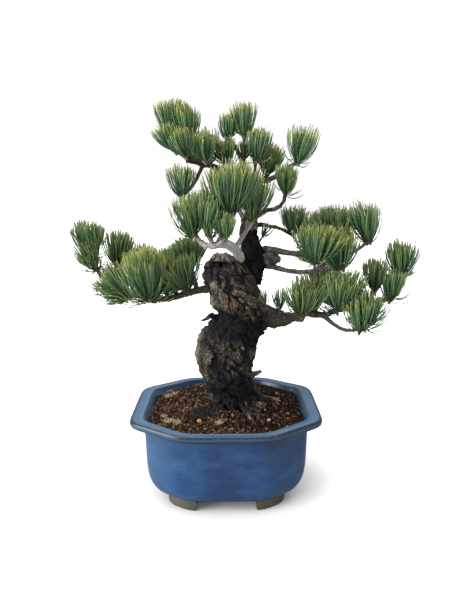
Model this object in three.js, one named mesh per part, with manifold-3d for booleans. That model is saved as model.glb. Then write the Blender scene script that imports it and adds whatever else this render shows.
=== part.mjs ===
// A bonsai pine in a glazed stoneware pot on four clay feet.
// Millimetres, +Z up. The parts are laid out with the middle of the pot at x = 0, y = 0 and the
// feet at z = 0; the last step shifts them so that the origin is under the middle of the whole tree.
import * as THREE from 'three';
import { mergeVertices } from 'three/addons/utils/BufferGeometryUtils.js';
import Module from 'manifold-3d';

const wasm = await Module();
wasm.setup();

// ---------------------------------------------------------------- Driving dimensions
const GAP = 0.3; // clearance between pieces that touch
const ROOM = 0.5; // the same on facets that lean away from each other
const WALL_GAP = 0.6; // the same against the pot's sloping wall
const RIM_HALF_WIDTH = 100; // the pot is 200 wide over its rim
const RIM_HALF_DEPTH = 81; // and 162 deep
const DEPTH_SHARE = 0.57; // front and back draw in by this share of what the sides do
const POT_HEIGHT = 94; // table to the flat of the rim
const FOOT_HEIGHT = 12.5; // table to the underside of the body
const FLOOR_TOP = 20; // inside floor of the pot
const CORNER_ACROSS = [3.9, 2.98]; // where a corner's line would meet the long axis, low and high
const CORNER_DEEP = 2; // and where it would meet the short one
const CORNER_TOP = 80; // the corners draw in more and more up to this height
const CORNER_HOLLOW = 0.6; // below 1 the corners are drawn in
const EDGE_SHARPNESS = 20; // how tightly the sides turn into the corners
const POT_POINTS = 56; // points round the pot

const DRAIN_X = 30; // the two drainage holes stand this far from the middle
const DRAIN_RADIUS = 10;
const DRAIN_SIDES = 20;
const TIE_X = 11; // the two small holes for the tie wire
const TIE_HOLE_RADIUS = 3;
const TIE_HOLE_SIDES = 8;
const TIE_WIRE_RADIUS = 1;

const SCREEN_SIZE = 32;
const SCREEN_THICKNESS = 1.2;
const SCREEN_HOLES = 4; // along each side
const SCREEN_HOLE = 4.6;
const SCREEN_PITCH = 7.6;
const CLIP_WIRE_RADIUS = 0.6;
const CLIP_BEND = 1.2; // the clip's back turns down into its legs within this
const CLIP_FOOT = [[0, 2], [1.4, 0.2], [4, 0], [10, 0]]; // a leg's end: [out, above the lowest]
const WIRE_SIDES = 6;
const CLIP_STEPS = 26;
const TIE_STEPS = 34;

const GRAVEL_TOP = 34; // top of the coarse drainage layer
const POCKET = { around: 1, above: 4 }; // room that the gravel leaves for a screen and its clip
const SOIL_EDGE = 88.5; // the soil meets the pot wall this high
const SOIL_RINGS = [0.8, 0.56, 0.3]; // the soil's top closes inwards in these rings
const MOUND = { x: 0, y: 14, rise: 13, spread: 32 }; // soil heaped up round the trunk

// The pot's section: [how far in from the rim's outer edge, height].
const POT_OUTSIDE = [
  [36, FOOT_HEIGHT], [33, 13.8], [28, 17], [24, 21.5], [20.4, 27.5], [18.2, 34], [16.4, 46],
  [15.2, 68], [14.2, 85.6], [3.4, 86.6], [0, 89], [0.6, 92.8], [2.8, POT_HEIGHT],
];
const POT_INSIDE = [
  [14, POT_HEIGHT], [16, 92.4], [21.5, 84], [23.4, 68], [25.5, 48], [30, 32], [37, 24.5],
  [47, FLOOR_TOP],
];

// ---------------------------------------------------------------- Solids from meshes
function toSolid(geometry) {
  const bare = geometry.clone();
  bare.deleteAttribute('normal');
  bare.deleteAttribute('uv');
  const merged = mergeVertices(bare, 1e-4);
  const mesh = new wasm.Mesh({
    numProp: 3,
    vertProperties: new Float32Array(merged.attributes.position.array),
    triVerts: new Uint32Array(merged.index.array),
  });
  return new wasm.Manifold(mesh);
}

function toGeometry(solid) {
  const mesh = solid.getMesh();
  const geometry = new THREE.BufferGeometry();
  geometry.setAttribute('position', new THREE.BufferAttribute(mesh.vertProperties, 3));
  geometry.setIndex(new THREE.BufferAttribute(mesh.triVerts, 1));
  const faceted = geometry.toNonIndexed();
  faceted.computeVertexNormals();
  return faceted;
}

// A closed skin over rings of equal count, each end closed onto its middle point. The rings turn
// anticlockwise as seen from the last one.
function skin(rings) {
  const sides = rings[0].length;
  const points = rings.flat();
  const middle = (ring) => ring.reduce((sum, p) => sum.add(p), new THREE.Vector3())
    .divideScalar(sides);
  const firstMiddle = points.push(middle(rings[0])) - 1;
  const lastMiddle = points.push(middle(rings.at(-1))) - 1;
  const lastRing = (rings.length - 1) * sides;
  const triangles = [];
  for (let side = 0; side < sides; side++) {
    const next = (side + 1) % sides;
    for (let base = 0; base < lastRing; base += sides) {
      triangles.push(base + side, base + next, base + next + sides);
      triangles.push(base + side, base + next + sides, base + side + sides);
    }
    triangles.push(firstMiddle, next, side);
    triangles.push(lastMiddle, lastRing + side, lastRing + next);
  }
  const geometry = new THREE.BufferGeometry().setFromPoints(points);
  geometry.setIndex(triangles);
  return toSolid(geometry);
}

const FIRST_ACROSS = [0.28, 0.19, 0.94]; // a way that no limb starts along

// A tapering limb along a smooth line through stations [x, y, z, radius]. `room` grows it on all
// sides. With `lumps`, which scales the radius by the angle and the height, its sections are level.
function limb(stations, sides, steps, room = 0, lumps = null) {
  const path = new THREE.CatmullRomCurve3(stations.map(([x, y, z]) => new THREE.Vector3(x, y, z)));
  const across = new THREE.Vector3(...FIRST_ACROSS);
  const rings = [];
  for (let step = 0; step <= steps; step++) {
    const along = step / steps;
    const centre = path.getPoint(along);
    const heading = lumps ? new THREE.Vector3(0, 0, 1) : path.getTangent(along);
    if (step === 0) centre.addScaledVector(heading, -room);
    if (step === steps) centre.addScaledVector(heading, room);
    across.addScaledVector(heading, -across.dot(heading)).normalize();
    const side = new THREE.Vector3().crossVectors(heading, across);
    const place = along * (stations.length - 1);
    const before = Math.min(Math.floor(place), stations.length - 2);
    const radius = THREE.MathUtils.lerp(stations[before][3], stations[before + 1][3], place - before);
    const height = centre.z;
    rings.push(Array.from({ length: sides }, (_, index) => {
      const angle = (index / sides) * 2 * Math.PI;
      const reach = radius * (lumps ? lumps(angle, height) : 1) + room;
      return centre.clone()
        .addScaledVector(across, reach * Math.cos(angle))
        .addScaledVector(side, reach * Math.sin(angle));
    }));
  }
  return skin(rings);
}

// A round wire of one thickness along a smooth line through the points.
function wire(points, radius, steps) {
  const section = new THREE.Shape(new THREE.EllipseCurve(0, 0, radius, radius)
    .getPoints(WIRE_SIDES).slice(0, WIRE_SIDES));
  const path = new THREE.CatmullRomCurve3(points.map((p) => new THREE.Vector3(...p)));
  return toSolid(new THREE.ExtrudeGeometry(section, { steps, extrudePath: path }));
}

function block(width, depth, height, x, y, z) {
  return toSolid(new THREE.BoxGeometry(width, depth, height).translate(x, y, z));
}

function upright(radius, bottom, top, x, y, sides) {
  const geometry = new THREE.CylinderGeometry(radius, radius, top - bottom, sides);
  return toSolid(geometry.rotateX(Math.PI / 2).translate(x, y, (top + bottom) / 2));
}

const joined = (solids) => solids.reduce((whole, solid) => whole.add(solid));

// ---------------------------------------------------------------- Pot
// A soft octagon: a rounded rectangle whose corners are cut off and drawn in slightly.
function potOutline(inset, height) {
  const halfWidth = RIM_HALF_WIDTH - inset;
  const halfDepth = RIM_HALF_DEPTH - inset * DEPTH_SHARE;
  const rise = THREE.MathUtils.clamp(height / CORNER_TOP, 0, 1);
  const cornerAcross = THREE.MathUtils.lerp(...CORNER_ACROSS, rise);
  return Array.from({ length: POT_POINTS }, (_, index) => {
    const turn = (index / POT_POINTS) * 2 * Math.PI;
    const angle = Math.atan2(halfDepth * Math.sin(turn), halfWidth * Math.cos(turn));
    const across = Math.abs(Math.cos(angle)) / halfWidth;
    const deep = Math.abs(Math.sin(angle)) / halfDepth;
    const corner = ((across / cornerAcross) ** CORNER_HOLLOW
      + (deep / CORNER_DEEP) ** CORNER_HOLLOW) ** (1 / CORNER_HOLLOW);
    const reach = (across ** EDGE_SHARPNESS + deep ** EDGE_SHARPNESS
      + corner ** EDGE_SHARPNESS) ** (-1 / EDGE_SHARPNESS);
    return new THREE.Vector3(reach * Math.cos(angle), reach * Math.sin(angle), height);
  });
}

const potSkin = (section) => skin(section.map(([inset, height]) => potOutline(inset, height)));

// Four L-shaped feet: a band under the body's edge, kept only at the corners.
const FOOT_OUTSIDE = [[39.8, 0], [38, 1.8], [37.3, FOOT_HEIGHT + 1]];
const FOOT_INSIDE = [[56, -1], [54, FOOT_HEIGHT + 2]];
const FOOT_START = [30, 15]; // the feet begin this far out from the middle, across and deep
const FOOT_CUTTER = [80, 80, 30];

function potFeet() {
  const [width, depth, height] = FOOT_CUTTER;
  const corners = [];
  for (const right of [-1, 1]) {
    for (const back of [-1, 1]) {
      const x = right * (FOOT_START[0] + width / 2);
      corners.push(block(width, depth, height, x, back * (FOOT_START[1] + depth / 2), 0));
    }
  }
  return potSkin(FOOT_OUTSIDE).subtract(potSkin(FOOT_INSIDE)).intersect(joined(corners));
}

function pot() {
  let body = potSkin([...POT_OUTSIDE, ...POT_INSIDE]).add(potFeet());
  for (const side of [-1, 1]) {
    body = body.subtract(upright(DRAIN_RADIUS, 0, GRAVEL_TOP, side * DRAIN_X, 0, DRAIN_SIDES));
    body = body.subtract(upright(TIE_HOLE_RADIUS, 0, GRAVEL_TOP, side * TIE_X, 0, TIE_HOLE_SIDES));
  }
  return body;
}

// How far the inside wall stands in from the rim's edge at a height.
function insideInset(height) {
  const wall = POT_INSIDE;
  const above = wall.findIndex(([, level], index) => index > 0 && level <= height);
  const [lowInset, low] = wall[above];
  const [highInset, high] = wall[above - 1];
  return THREE.MathUtils.mapLinear(height, low, high, lowInset, highInset);
}

// What fills the pot between two heights, level by level, clear of the wall.
function potFilling(bottom, top) {
  const levels = POT_INSIDE.map(([, level]) => level).filter((z) => z > bottom && z < top);
  return [bottom, ...levels.reverse(), top].map((z) => [insideInset(z) + WALL_GAP, z]);
}

// ---------------------------------------------------------------- Drainage pieces
function drainageScreen(side) {
  const middle = FLOOR_TOP + GAP + SCREEN_THICKNESS / 2;
  let plate = block(SCREEN_SIZE, SCREEN_SIZE, SCREEN_THICKNESS, side * DRAIN_X, 0, middle);
  for (let column = 0; column < SCREEN_HOLES; column++) {
    for (let row = 0; row < SCREEN_HOLES; row++) {
      const x = side * DRAIN_X + (column - (SCREEN_HOLES - 1) / 2) * SCREEN_PITCH;
      const y = (row - (SCREEN_HOLES - 1) / 2) * SCREEN_PITCH;
      plate = plate.subtract(block(SCREEN_HOLE, SCREEN_HOLE, 2 * SCREEN_THICKNESS, x, y, middle));
    }
  }
  return plate;
}

// A bent wire: its back lies over the screen, its legs go down the hole and fold out under the pot.
function clipRoute(side) {
  const over = FLOOR_TOP + GAP + SCREEN_THICKNESS + GAP + CLIP_WIRE_RADIUS;
  const under = FOOT_HEIGHT - 2 * GAP - CLIP_WIRE_RADIUS;
  const leg = SCREEN_PITCH / 2;
  const half = [[0, over], [leg - CLIP_BEND, over], [leg, over - CLIP_BEND],
    ...CLIP_FOOT.map(([out, above]) => [leg + out, under + above])];
  const mirrored = half.slice(1).reverse().map(([y, z]) => [-y, z]);
  return [...mirrored, ...half].map(([y, z]) => [side * DRAIN_X + leg, y, z]);
}

const screenClip = (side) => wire(clipRoute(side), CLIP_WIRE_RADIUS, CLIP_STEPS);

// The tie wire comes up through the small holes and is bent over the root ball on both sides.
const TIE_ROUTE = [
  [-52, -22, 82], [-50, -10, 64], [-30, -1, 46], [-TIE_X - 1, 0, 30], [-TIE_X, 0, 21],
  [-TIE_X, 0, 14], [-TIE_X + 1.5, 0, 10.6], [-TIE_X + 5, 0, 9.6], [TIE_X - 5, 0, 9.6],
  [TIE_X - 1.5, 0, 10.6], [TIE_X, 0, 14], [TIE_X, 0, 21], [TIE_X + 1, 0, 30], [30, -1, 46],
  [58, -10, 64], [62, -20, 82],
];
const tieWire = () => wire(TIE_ROUTE, TIE_WIRE_RADIUS, TIE_STEPS);
const tieWireRoom = () => wire(TIE_ROUTE, TIE_WIRE_RADIUS + ROOM, TIE_STEPS);

function gravelLayer() {
  const bottom = FLOOR_TOP + GAP;
  const pocketTop = bottom + POCKET.above;
  let layer = potSkin(potFilling(bottom, GRAVEL_TOP - GAP));
  for (const side of [-1, 1]) {
    const pocket = SCREEN_SIZE + 2 * POCKET.around;
    layer = layer.subtract(block(pocket, pocket, pocketTop, side * DRAIN_X, 0, pocketTop / 2));
  }
  return layer.subtract(tieWireRoom());
}

function soilHeight(x, y) {
  const away = Math.hypot(x - MOUND.x, y - MOUND.y) / MOUND.spread;
  return SOIL_EDGE + MOUND.rise * Math.exp(-away * away / 2);
}

// The top closes inwards in rings that climb the mound.
function soilBed(roots) {
  const sides = potFilling(GRAVEL_TOP, SOIL_EDGE);
  const rings = sides.map(([inset, height]) => potOutline(inset, height));
  const edge = rings.at(-1);
  for (const share of SOIL_RINGS) {
    rings.push(edge.map(({ x, y }) => {
      const inX = THREE.MathUtils.lerp(MOUND.x, x, share);
      const inY = THREE.MathUtils.lerp(MOUND.y, y, share);
      return new THREE.Vector3(inX, inY, soilHeight(inX, inY));
    }));
  }
  return skin(rings).subtract(roots).subtract(tieWireRoom());
}

// ---------------------------------------------------------------- Trunk
// Stations are [x, y, z, radius]. The trunk leans left, swings right at its waist, then its thick
// upper half leans back left over the waist and ends in an old cut; the leader grows out behind it.
const TRUNK = [
  [12, 2, 62, 19], [12, 1, 76, 23], [11, 0, 88, 23.5], [8.5, 0, 100, 23.5], [5.5, 0, 112, 24.8],
  [0.5, 0, 123, 27.2], [-2, -1, 135, 29.5], [-2, -2, 146, 31.5], [-1, -2, 157, 33],
  [2, 0, 168, 33.5], [8.5, 2, 179, 32.5], [15, 1, 190, 29.5], [18.5, -5, 200, 26.5],
  [14, -12, 208, 28.5], [11, -13, 217, 28], [7, -12, 227, 28], [3, -10, 237, 27],
  [1, -9, 246, 23], [0, -9, 254, 18.5], [0, -9, 260, 11],
];
const LEADER = [
  [20, 0, 222, 14], [25, 3, 236, 13], [29, 5, 247, 14], [29.5, 6, 258, 14.5], [26.5, 6.5, 268, 13.5],
  [24, 7, 279, 11], [25.5, 8, 291, 8], [26, 8, 303, 6.2], [25, 9, 316, 5.2], [21, 11, 334, 4.4],
  [18, 12, 352, 3.4],
];
const ROOTS = [
  [[14, -12, 106, 8], [20, -24, 99, 5], [26, -36, 91, 3.4], [30, -46, 82, 2.6], [31, -48, 68, 2]],
  [[20, -8, 106, 8], [27, -19, 99, 5], [34, -32, 91, 3.6], [38, -41, 80, 2.4]],
  [[0, -10, 102, 9], [-12, -20, 92, 6], [-24, -29, 82, 4], [-34, -36, 70, 2.6]],
  [[-4, 4, 108, 10], [-20, 8, 95, 7], [-38, 10, 83, 4.6], [-54, 12, 70, 2.6]],
  [[2, 12, 108, 10], [-8, 30, 97, 7], [-16, 41, 83, 4.6], [-22, 47, 68, 2.6]],
  [[18, 12, 108, 10], [32, 27, 96, 6.5], [44, 34, 83, 4.4], [51, 39, 68, 2.6]],
  [[22, 2, 108, 9], [38, 4, 97, 5.6], [54, 4, 84, 3.8], [66, 3, 72, 2.6]],
  [[6, -2, 72, 16], [0, -8, 56, 9], [-8, -14, 42, 4]],
  [[12, 6, 72, 16], [20, 14, 54, 8], [28, 20, 42, 3.6]],
];
const SNAGS = [
  [[16, -4, 127, 5.4], [29, -5, 129, 3.6], [38, -6, 133, 1.8]], // short dead stub on the right
  [[-12, -4, 196, 4], [-20, -8, 192, 2.4], [-26, -10, 190, 1.4]], // dry spur at the waist's left
  [[27, 6, 282, 8.5], [26, -3, 288, 8], [24, -8, 291, 4.5]], // healed knob on the leader
];
const LEADER_SHOOTS = [
  [[18, 12, 350, 3.2], [13, 10, 362, 2.6], [7, 10, 370, 2.2], [4, 10, 375, 2]],
  [[18, 12, 351, 3], [20, 8, 365, 2.4], [18, 6, 377, 2]],
  [[27, 6, 293, 4], [34, 4, 298, 3.2], [41, 2, 303, 2.8], [51, 0, 305, 2.6], [58, -6, 311, 2.3],
    [59, -12, 320, 2]],
  [[28, 6, 288, 4], [36, 5, 289, 3], [44, 6, 287, 2.6], [55, 8, 285, 2.4], [63, 11, 281, 2.2],
    [70, 13, 277, 2]],
];
// A long hollow slit under the lip of the old cut.
const HOLLOW = { x: -6, y: -27, z: 251.5, halfWidth: 12, halfDepth: 12, halfHeight: 2.8 };
const HOLLOW_DETAIL = [10, 6];

// The wood swells and hollows round its sections: [depth, waves round, how they turn with height].
const BARK_LUMPS = [[0.05, 3, 1 / 19], [0.035, 5, -1 / 12]];
const barkLumps = (angle, height) => BARK_LUMPS
  .reduce((sum, [depth, waves, turn]) => sum + depth * Math.cos(waves * angle + turn * height), 1);

// Sides and sections of each kind of wood.
const DETAIL = { trunk: [14, 26], leader: [8, 14], root: [6, 5], snag: [6, 4] };
const LIMB_SIDES = 6;
const TWIG_SIDES = 5;

// The wood of the trunk, or with `room` the space that its neighbours leave round it.
function trunkWood(room = 0) {
  return joined([
    limb(TRUNK, ...DETAIL.trunk, room, barkLumps),
    limb(LEADER, ...DETAIL.leader, room, barkLumps),
    ...ROOTS.map((root) => limb(root, ...DETAIL.root, room)),
    ...SNAGS.map((snag) => limb(snag, ...DETAIL.snag, room)),
    ...LEADER_SHOOTS.map((shoot) => limb(shoot, TWIG_SIDES, shoot.length + 1, room)),
  ]);
}

function trunk() {
  const { x, y, z, halfWidth, halfDepth, halfHeight } = HOLLOW;
  const hollow = toSolid(new THREE.SphereGeometry(1, ...HOLLOW_DETAIL)
    .scale(halfWidth, halfDepth, halfHeight).translate(x, y, z));
  return trunkWood().subtract(hollow);
}

// ---------------------------------------------------------------- Branches
// Each branch is its main limb and side twigs; every twig ends where a tuft of needles begins.
const BRANCHES = {
  branch_left_low: [
    [[-10, -3, 226, 6.5], [-21, -4, 223, 5], [-31, -4, 221, 4], [-44, -4, 217, 3.6],
      [-56, -3, 213, 3.4], [-69, -3, 212, 3.3], [-79, -4, 214, 3.2], [-92, -4, 216, 3],
      [-104, -4, 217, 2.8], [-116, -3, 224, 2.6], [-128, 0, 233, 2.4], [-135, 3, 246, 2.2],
      [-141, 5, 263, 2]],
    [[-118, -2, 226, 2.4], [-122, -6, 230, 2.2], [-126, -8, 233, 2]],
    [[-106, -3, 218, 2.6], [-111, 7, 230, 2.2], [-113, 16, 246, 2]],
    [[-95, -4, 216, 2.6], [-99, -9, 215, 2.2], [-102, -12, 217, 2]],
    [[-83, -4, 215, 2.6], [-88, 8, 222, 2.2], [-90, 18, 231, 2]],
    [[-71, -3, 212, 3], [-75, -12, 211, 2.6], [-77, -20, 216, 2.2]],
    [[-60, -3, 213, 3], [-62, 1, 216, 2.6], [-63, 3, 220, 2.2]],
    [[-39, -4, 218, 3], [-42, -7, 220, 2.4], [-43, -9, 223, 2.2]],
    [[-30, -4, 221, 3.4], [-34, 14, 231, 2.8], [-39, 32, 244, 2.2]],
    [[-52, -3, 214, 3.2], [-55, 22, 219, 2.6], [-60, 44, 227, 2.2]],
  ],
  branch_left_front: [
    [[15, -3, 241, 6.5], [14, -11, 251, 6], [13, -19, 261, 5.6], [7, -28, 269, 5.2],
      [0, -35, 273, 4.8], [-6, -39, 273, 4.2], [-15, -41, 271, 3.5], [-23, -40, 274, 2.8],
      [-27, -38, 280, 2.4], [-31, -38, 284, 2.2]],
    [[-12, -41, 272, 2.8], [-15, -44, 279, 2.4], [-19, -46, 287, 2.2]],
    [[-5, -42, 274, 2.8], [-3, -47, 277, 2.4], [0, -50, 281, 2.2]],
    [[-9, -41, 273, 3], [-4, -40, 280, 2.6], [-3, -38, 290, 2.4], [-3, -36, 302, 2.2]],
    [[-3, -37, 274, 3], [1, -41, 288, 2.6], [6, -42, 304, 2.2]],
    [[9, -25, 267, 3], [19, -29, 283, 2.6], [29, -30, 298, 2.2]],
  ],
  branch_apex_left: [
    [[18, 12, 323, 4.4], [7, 10, 335, 3.6], [-4, 8, 343, 3.2], [-15, 4, 348, 3], [-25, 0, 349, 2.8],
      [-33, 0, 353, 2.6], [-39, -1, 356, 2.4], [-45, 0, 359, 2.2], [-51, 0, 362, 2]],
    [[-12, 5, 347, 2.6], [-18, -8, 347, 2.2], [-20, -16, 350, 2]],
    [[-30, 0, 351, 2.6], [-35, -8, 351, 2.2], [-38, -14, 354, 2]],
    [[-42, 0, 358, 2.4], [-50, 12, 371, 2.2], [-54, 20, 383, 2]],
    [[-32, 0, 353, 2.4], [-37, 7, 363, 2.2], [-36, 12, 373, 2]],
    [[-6, 8, 343, 3], [-13, 26, 346, 2.4], [-20, 44, 351, 2]],
    [[1, 9, 339, 2.6], [2, 2, 343, 2.2], [1, -4, 348, 2]],
    [[-22, 1, 349, 2.6], [-27, -2, 338, 2.2], [-33, -4, 327, 2], [-39, -6, 321, 2],
      [-43, -6, 318, 2]],
  ],
  branch_apex_right: [
    [[24, 9, 316, 4.4], [30, 8, 327, 3.6], [36, 8, 332, 3.2], [43, 8, 333, 3], [53, 6, 338, 2.6],
      [63, 4, 346, 2.4], [72, 4, 350, 2.2]],
    [[28, 8, 325, 3], [29, 3, 338, 2.4], [30, -4, 351, 2]],
    [[36, 8, 332, 2.8], [41, 11, 336, 2.4], [44, 14, 340, 2]],
  ],
  branch_right_mid: [
    [[30, 5, 262, 6], [38, 4, 264, 4.6], [52, 4, 262, 3.8], [67, 4, 259, 3.4], [81, 1, 257, 3],
      [88, -8, 254, 2.8], [91, -18, 254, 2.6], [92, -26, 255, 2.4]],
    [[28, 4, 248, 6], [38, 4, 247, 4.6], [48, 4, 245, 3.6], [62, 4, 241, 3.1], [78, 2, 239, 3],
      [94, 0, 241, 2.8], [106, -4, 244, 2.6], [115, -9, 244, 2.4], [117, -16, 247, 2.2]],
    [[35, 5, 255, 10], [44, 5, 254, 9.2], [50, 4, 253, 7.4], [58, 4, 252, 3.4]],
    [[92, 0, 241, 2.8], [104, 0, 249, 2.6], [117, 0, 252, 2.4], [129, 1, 259, 2.3],
      [140, 2, 264, 2.2], [147, 2, 272, 2]],
    [[108, 0, 250, 2.6], [114, 12, 259, 2.3], [116, 23, 272, 2]],
    [[68, 4, 259, 3.2], [80, 24, 257, 2.6], [88, 42, 258, 2.4], [92, 52, 262, 2.2]],
  ],
  branch_right_low: [
    [[30, 0, 196, 13], [45, 0, 192, 12], [57, -2, 189, 10], [66, -2, 190, 6.5], [74, -2, 193, 4.6],
      [82, -4, 196, 4], [95, -4, 195, 4], [106, -4, 194, 3.8], [114, -2, 198, 3.4],
      [123, -2, 200, 3.2], [133, -2, 201, 3], [145, 0, 204, 2.8], [155, 0, 206, 2.6],
      [165, -2, 209, 2.4], [174, -4, 211, 2.2]],
    [[70, -2, 191, 3], [79, -8, 189, 2.4], [81, -12, 194, 2.2], [80, -14, 199, 2]],
    [[112, -2, 197, 2.8], [116, -10, 200, 2.4], [117, -14, 203, 2.2]],
    [[103, -4, 194, 3], [111, -8, 187, 2.6], [119, -12, 182, 2.4], [129, -15, 180, 2.2],
      [141, -18, 183, 2]],
    [[147, 0, 204, 2.6], [155, 4, 212, 2.2], [158, 8, 219, 2]],
    [[165, -2, 209, 2.4], [178, 4, 213, 2.2], [185, 8, 222, 2], [189, 10, 232, 2]],
    [[92, -4, 195, 3.2], [100, 20, 197, 2.6], [110, 44, 203, 2.2]],
  ],
  branch_back: [
    [[27, 12, 274, 6], [26, 28, 280, 4.6], [22, 46, 288, 3.4], [16, 60, 299, 2.6],
      [12, 68, 308, 2.2]],
  ],
};

function branchWood(limbs, room = 0) {
  return joined(limbs.map((stations, index) => limb(stations,
    index === 0 ? LIMB_SIDES : TWIG_SIDES, stations.length + 1, room)));
}

// ---------------------------------------------------------------- Needle tufts
// Each tuft fills the space that one twig end's needles take: [base, tip, width], base at the twig.
const TUFTS = {
  tuft_left_tip: [[-141, 5, 264], [-140, 3, 296], 37],
  tuft_left_tip_low: [[-126, -8, 234], [-146, -12, 272], 32],
  tuft_left_third: [[-113, 16, 247], [-114, 18, 284], 35],
  tuft_left_droop: [[-102, -12, 218], [-121, -18, 252], 36],
  tuft_left_back: [[-90, 18, 232], [-89, 20, 271], 40],
  tuft_left_fan: [[-77, -20, 217], [-83, -26, 268], 58],
  tuft_left_middle: [[-63, 3, 221], [-65, 1, 262], 38],
  tuft_left_inner: [[-43, -9, 224], [-46, -12, 260], 44],
  tuft_left_dark: [[-39, 32, 245], [-43, 34, 276], 42],
  tuft_left_deep: [[-60, 44, 228], [-67, 58, 262], 42],
  tuft_front_left: [[-31, -38, 285], [-38, -43, 322], 42],
  tuft_front_mid: [[-19, -46, 288], [-19, -52, 324], 32],
  tuft_front_low: [[0, -50, 282], [1, -57, 309], 26],
  tuft_front_top_left: [[-3, -36, 303], [-11, -40, 344], 38],
  tuft_front_top: [[6, -42, 305], [7, -47, 351], 46],
  tuft_front_right: [[29, -30, 299], [34, -34, 337], 38],
  tuft_apex_single: [[-43, -6, 319], [-44, -8, 348], 28],
  tuft_apex_low: [[-38, -14, 355], [-45, -18, 383], 30],
  tuft_apex_front: [[-20, -16, 351], [-21, -20, 380], 31],
  tuft_apex_far: [[-51, 0, 363], [-63, -3, 391], 28],
  tuft_apex_top_far: [[-54, 20, 384], [-58, 22, 414], 35],
  tuft_apex_top: [[-36, 12, 374], [-34, 12, 409], 36],
  tuft_apex_centre: [[1, -4, 349], [1, -7, 377], 26],
  tuft_apex_deep: [[-20, 44, 352], [-25, 56, 386], 38],
  tuft_crown_left: [[4, 10, 376], [2, 9, 400], 22],
  tuft_crown_top: [[18, 6, 378], [20, 5, 408], 30],
  tuft_crown_front: [[30, -4, 352], [33, -7, 386], 28],
  tuft_right_second: [[44, 14, 341], [52, 13, 373], 30],
  tuft_right_far: [[72, 4, 351], [78, 3, 386], 34],
  tuft_right_hanging: [[59, -12, 321], [61, -17, 350], 30],
  tuft_right_small: [[70, 13, 278], [70, 12, 310], 26],
  tuft_mid_front: [[92, -26, 256], [88, -34, 294], 48],
  tuft_mid_second: [[117, -16, 248], [118, -22, 287], 40],
  tuft_mid_back: [[116, 23, 273], [113, 28, 306], 54],
  tuft_mid_tip: [[147, 2, 273], [143, 1, 314], 32],
  tuft_mid_deep: [[92, 52, 263], [97, 66, 297], 42],
  tuft_low_inner: [[80, -14, 200], [74, -20, 238], 44],
  tuft_low_second: [[117, -14, 204], [116, -22, 244], 48],
  tuft_low_dark: [[158, 8, 220], [153, 8, 257], 32],
  tuft_low_front: [[141, -18, 184], [144, -26, 225], 46],
  tuft_low_tip: [[174, -4, 212], [175, -7, 246], 34],
  tuft_low_end: [[189, 10, 233], [186, 10, 273], 38],
  tuft_low_deep: [[110, 44, 204], [115, 58, 240], 46],
  tuft_back_high: [[12, 68, 309], [6, 84, 344], 48],
};
const TUFT_SIDES = 7;
const TUFT_START = 1.6; // the needles begin just past the twig's end
const TUFT_SHAPE = [[0, 0.12], [0.36, 0.76], [0.76, 1], [1, 0.42]]; // [along, radius]

function tuft([base, tip, width]) {
  const from = new THREE.Vector3(...base);
  const along = new THREE.Vector3(...tip).sub(from);
  const start = TUFT_START / along.length();
  const stations = TUFT_SHAPE.map(([share, radius]) => {
    const at = from.clone().addScaledVector(along, THREE.MathUtils.lerp(start, 1, share));
    return [at.x, at.y, at.z, (radius * width) / 2];
  });
  return limb(stations, TUFT_SIDES, stations.length - 1);
}

// Neighbouring tufts that would run into each other are both cut on a plane between them, and a
// tuft that a twig runs through is cut clear of the twig.
const HALF_SPACE = 400;
const TUFT_HEART = 0.62; // a tuft's widest part, as a share of the way to its tip
function cutBeyond(solid, point, normal) {
  const away = new THREE.Quaternion().setFromUnitVectors(new THREE.Vector3(0, 0, 1), normal);
  const beyond = new THREE.BoxGeometry(HALF_SPACE, HALF_SPACE, HALF_SPACE)
    .translate(0, 0, HALF_SPACE / 2 - GAP / 2)
    .applyQuaternion(away).translate(point.x, point.y, point.z);
  return solid.subtract(toSolid(beyond));
}

function separated(tufts, shapes, wood) {
  const names = Object.keys(tufts);
  const middles = names.map((name) => new THREE.Vector3(...shapes[name][0])
    .lerp(new THREE.Vector3(...shapes[name][1]), TUFT_HEART));
  names.forEach((one, i) => names.slice(i + 1).forEach((two, offset) => {
    const j = i + 1 + offset;
    if (tufts[one].intersect(tufts[two]).isEmpty()) return;
    const normal = middles[j].clone().sub(middles[i]);
    const share = shapes[one][2] / (shapes[one][2] + shapes[two][2]);
    const between = middles[i].clone().addScaledVector(normal, share);
    normal.normalize();
    tufts[one] = cutBeyond(tufts[one], between, normal);
    tufts[two] = cutBeyond(tufts[two], between, normal.clone().negate());
  }));
  for (const name of names) {
    for (const piece of wood) {
      if (!tufts[name].intersect(piece).isEmpty()) tufts[name] = tufts[name].subtract(piece);
    }
  }
  return tufts;
}

// ---------------------------------------------------------------- Materials
const FINISHES = {
  glaze: ['#2f5a97', 0.25, 0],
  plastic: ['#23262a', 0.6, 0],
  wire: ['#8d8f92', 0.4, 1],
  gravel: ['#8b8378', 0.9, 0],
  soil: ['#4b3425', 0.95, 0],
  bark: ['#4a4138', 0.9, 0],
  needles: ['#3f6a3a', 0.6, 0],
};

const group = new THREE.Group();

function addPiece(name, solid, finish) {
  const [color, roughness, metalness] = FINISHES[finish];
  const material = new THREE.MeshStandardMaterial({ color, roughness, metalness });
  const mesh = new THREE.Mesh(toGeometry(solid), material);
  mesh.name = name;
  group.add(mesh);
}

// ---------------------------------------------------------------- Assembly
const stemRoom = trunkWood(ROOM);

addPiece('pot', pot(), 'glaze');
for (const [side, word] of [[-1, 'left'], [1, 'right']]) {
  addPiece(`drainage_screen_${word}`, drainageScreen(side), 'plastic');
  addPiece(`screen_clip_${word}`, screenClip(side), 'wire');
}
addPiece('tie_wire', tieWire(), 'wire');
addPiece('gravel_layer', gravelLayer(), 'gravel');
addPiece('soil_bed', soilBed(stemRoom), 'soil');
addPiece('trunk', trunk(), 'bark');

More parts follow.
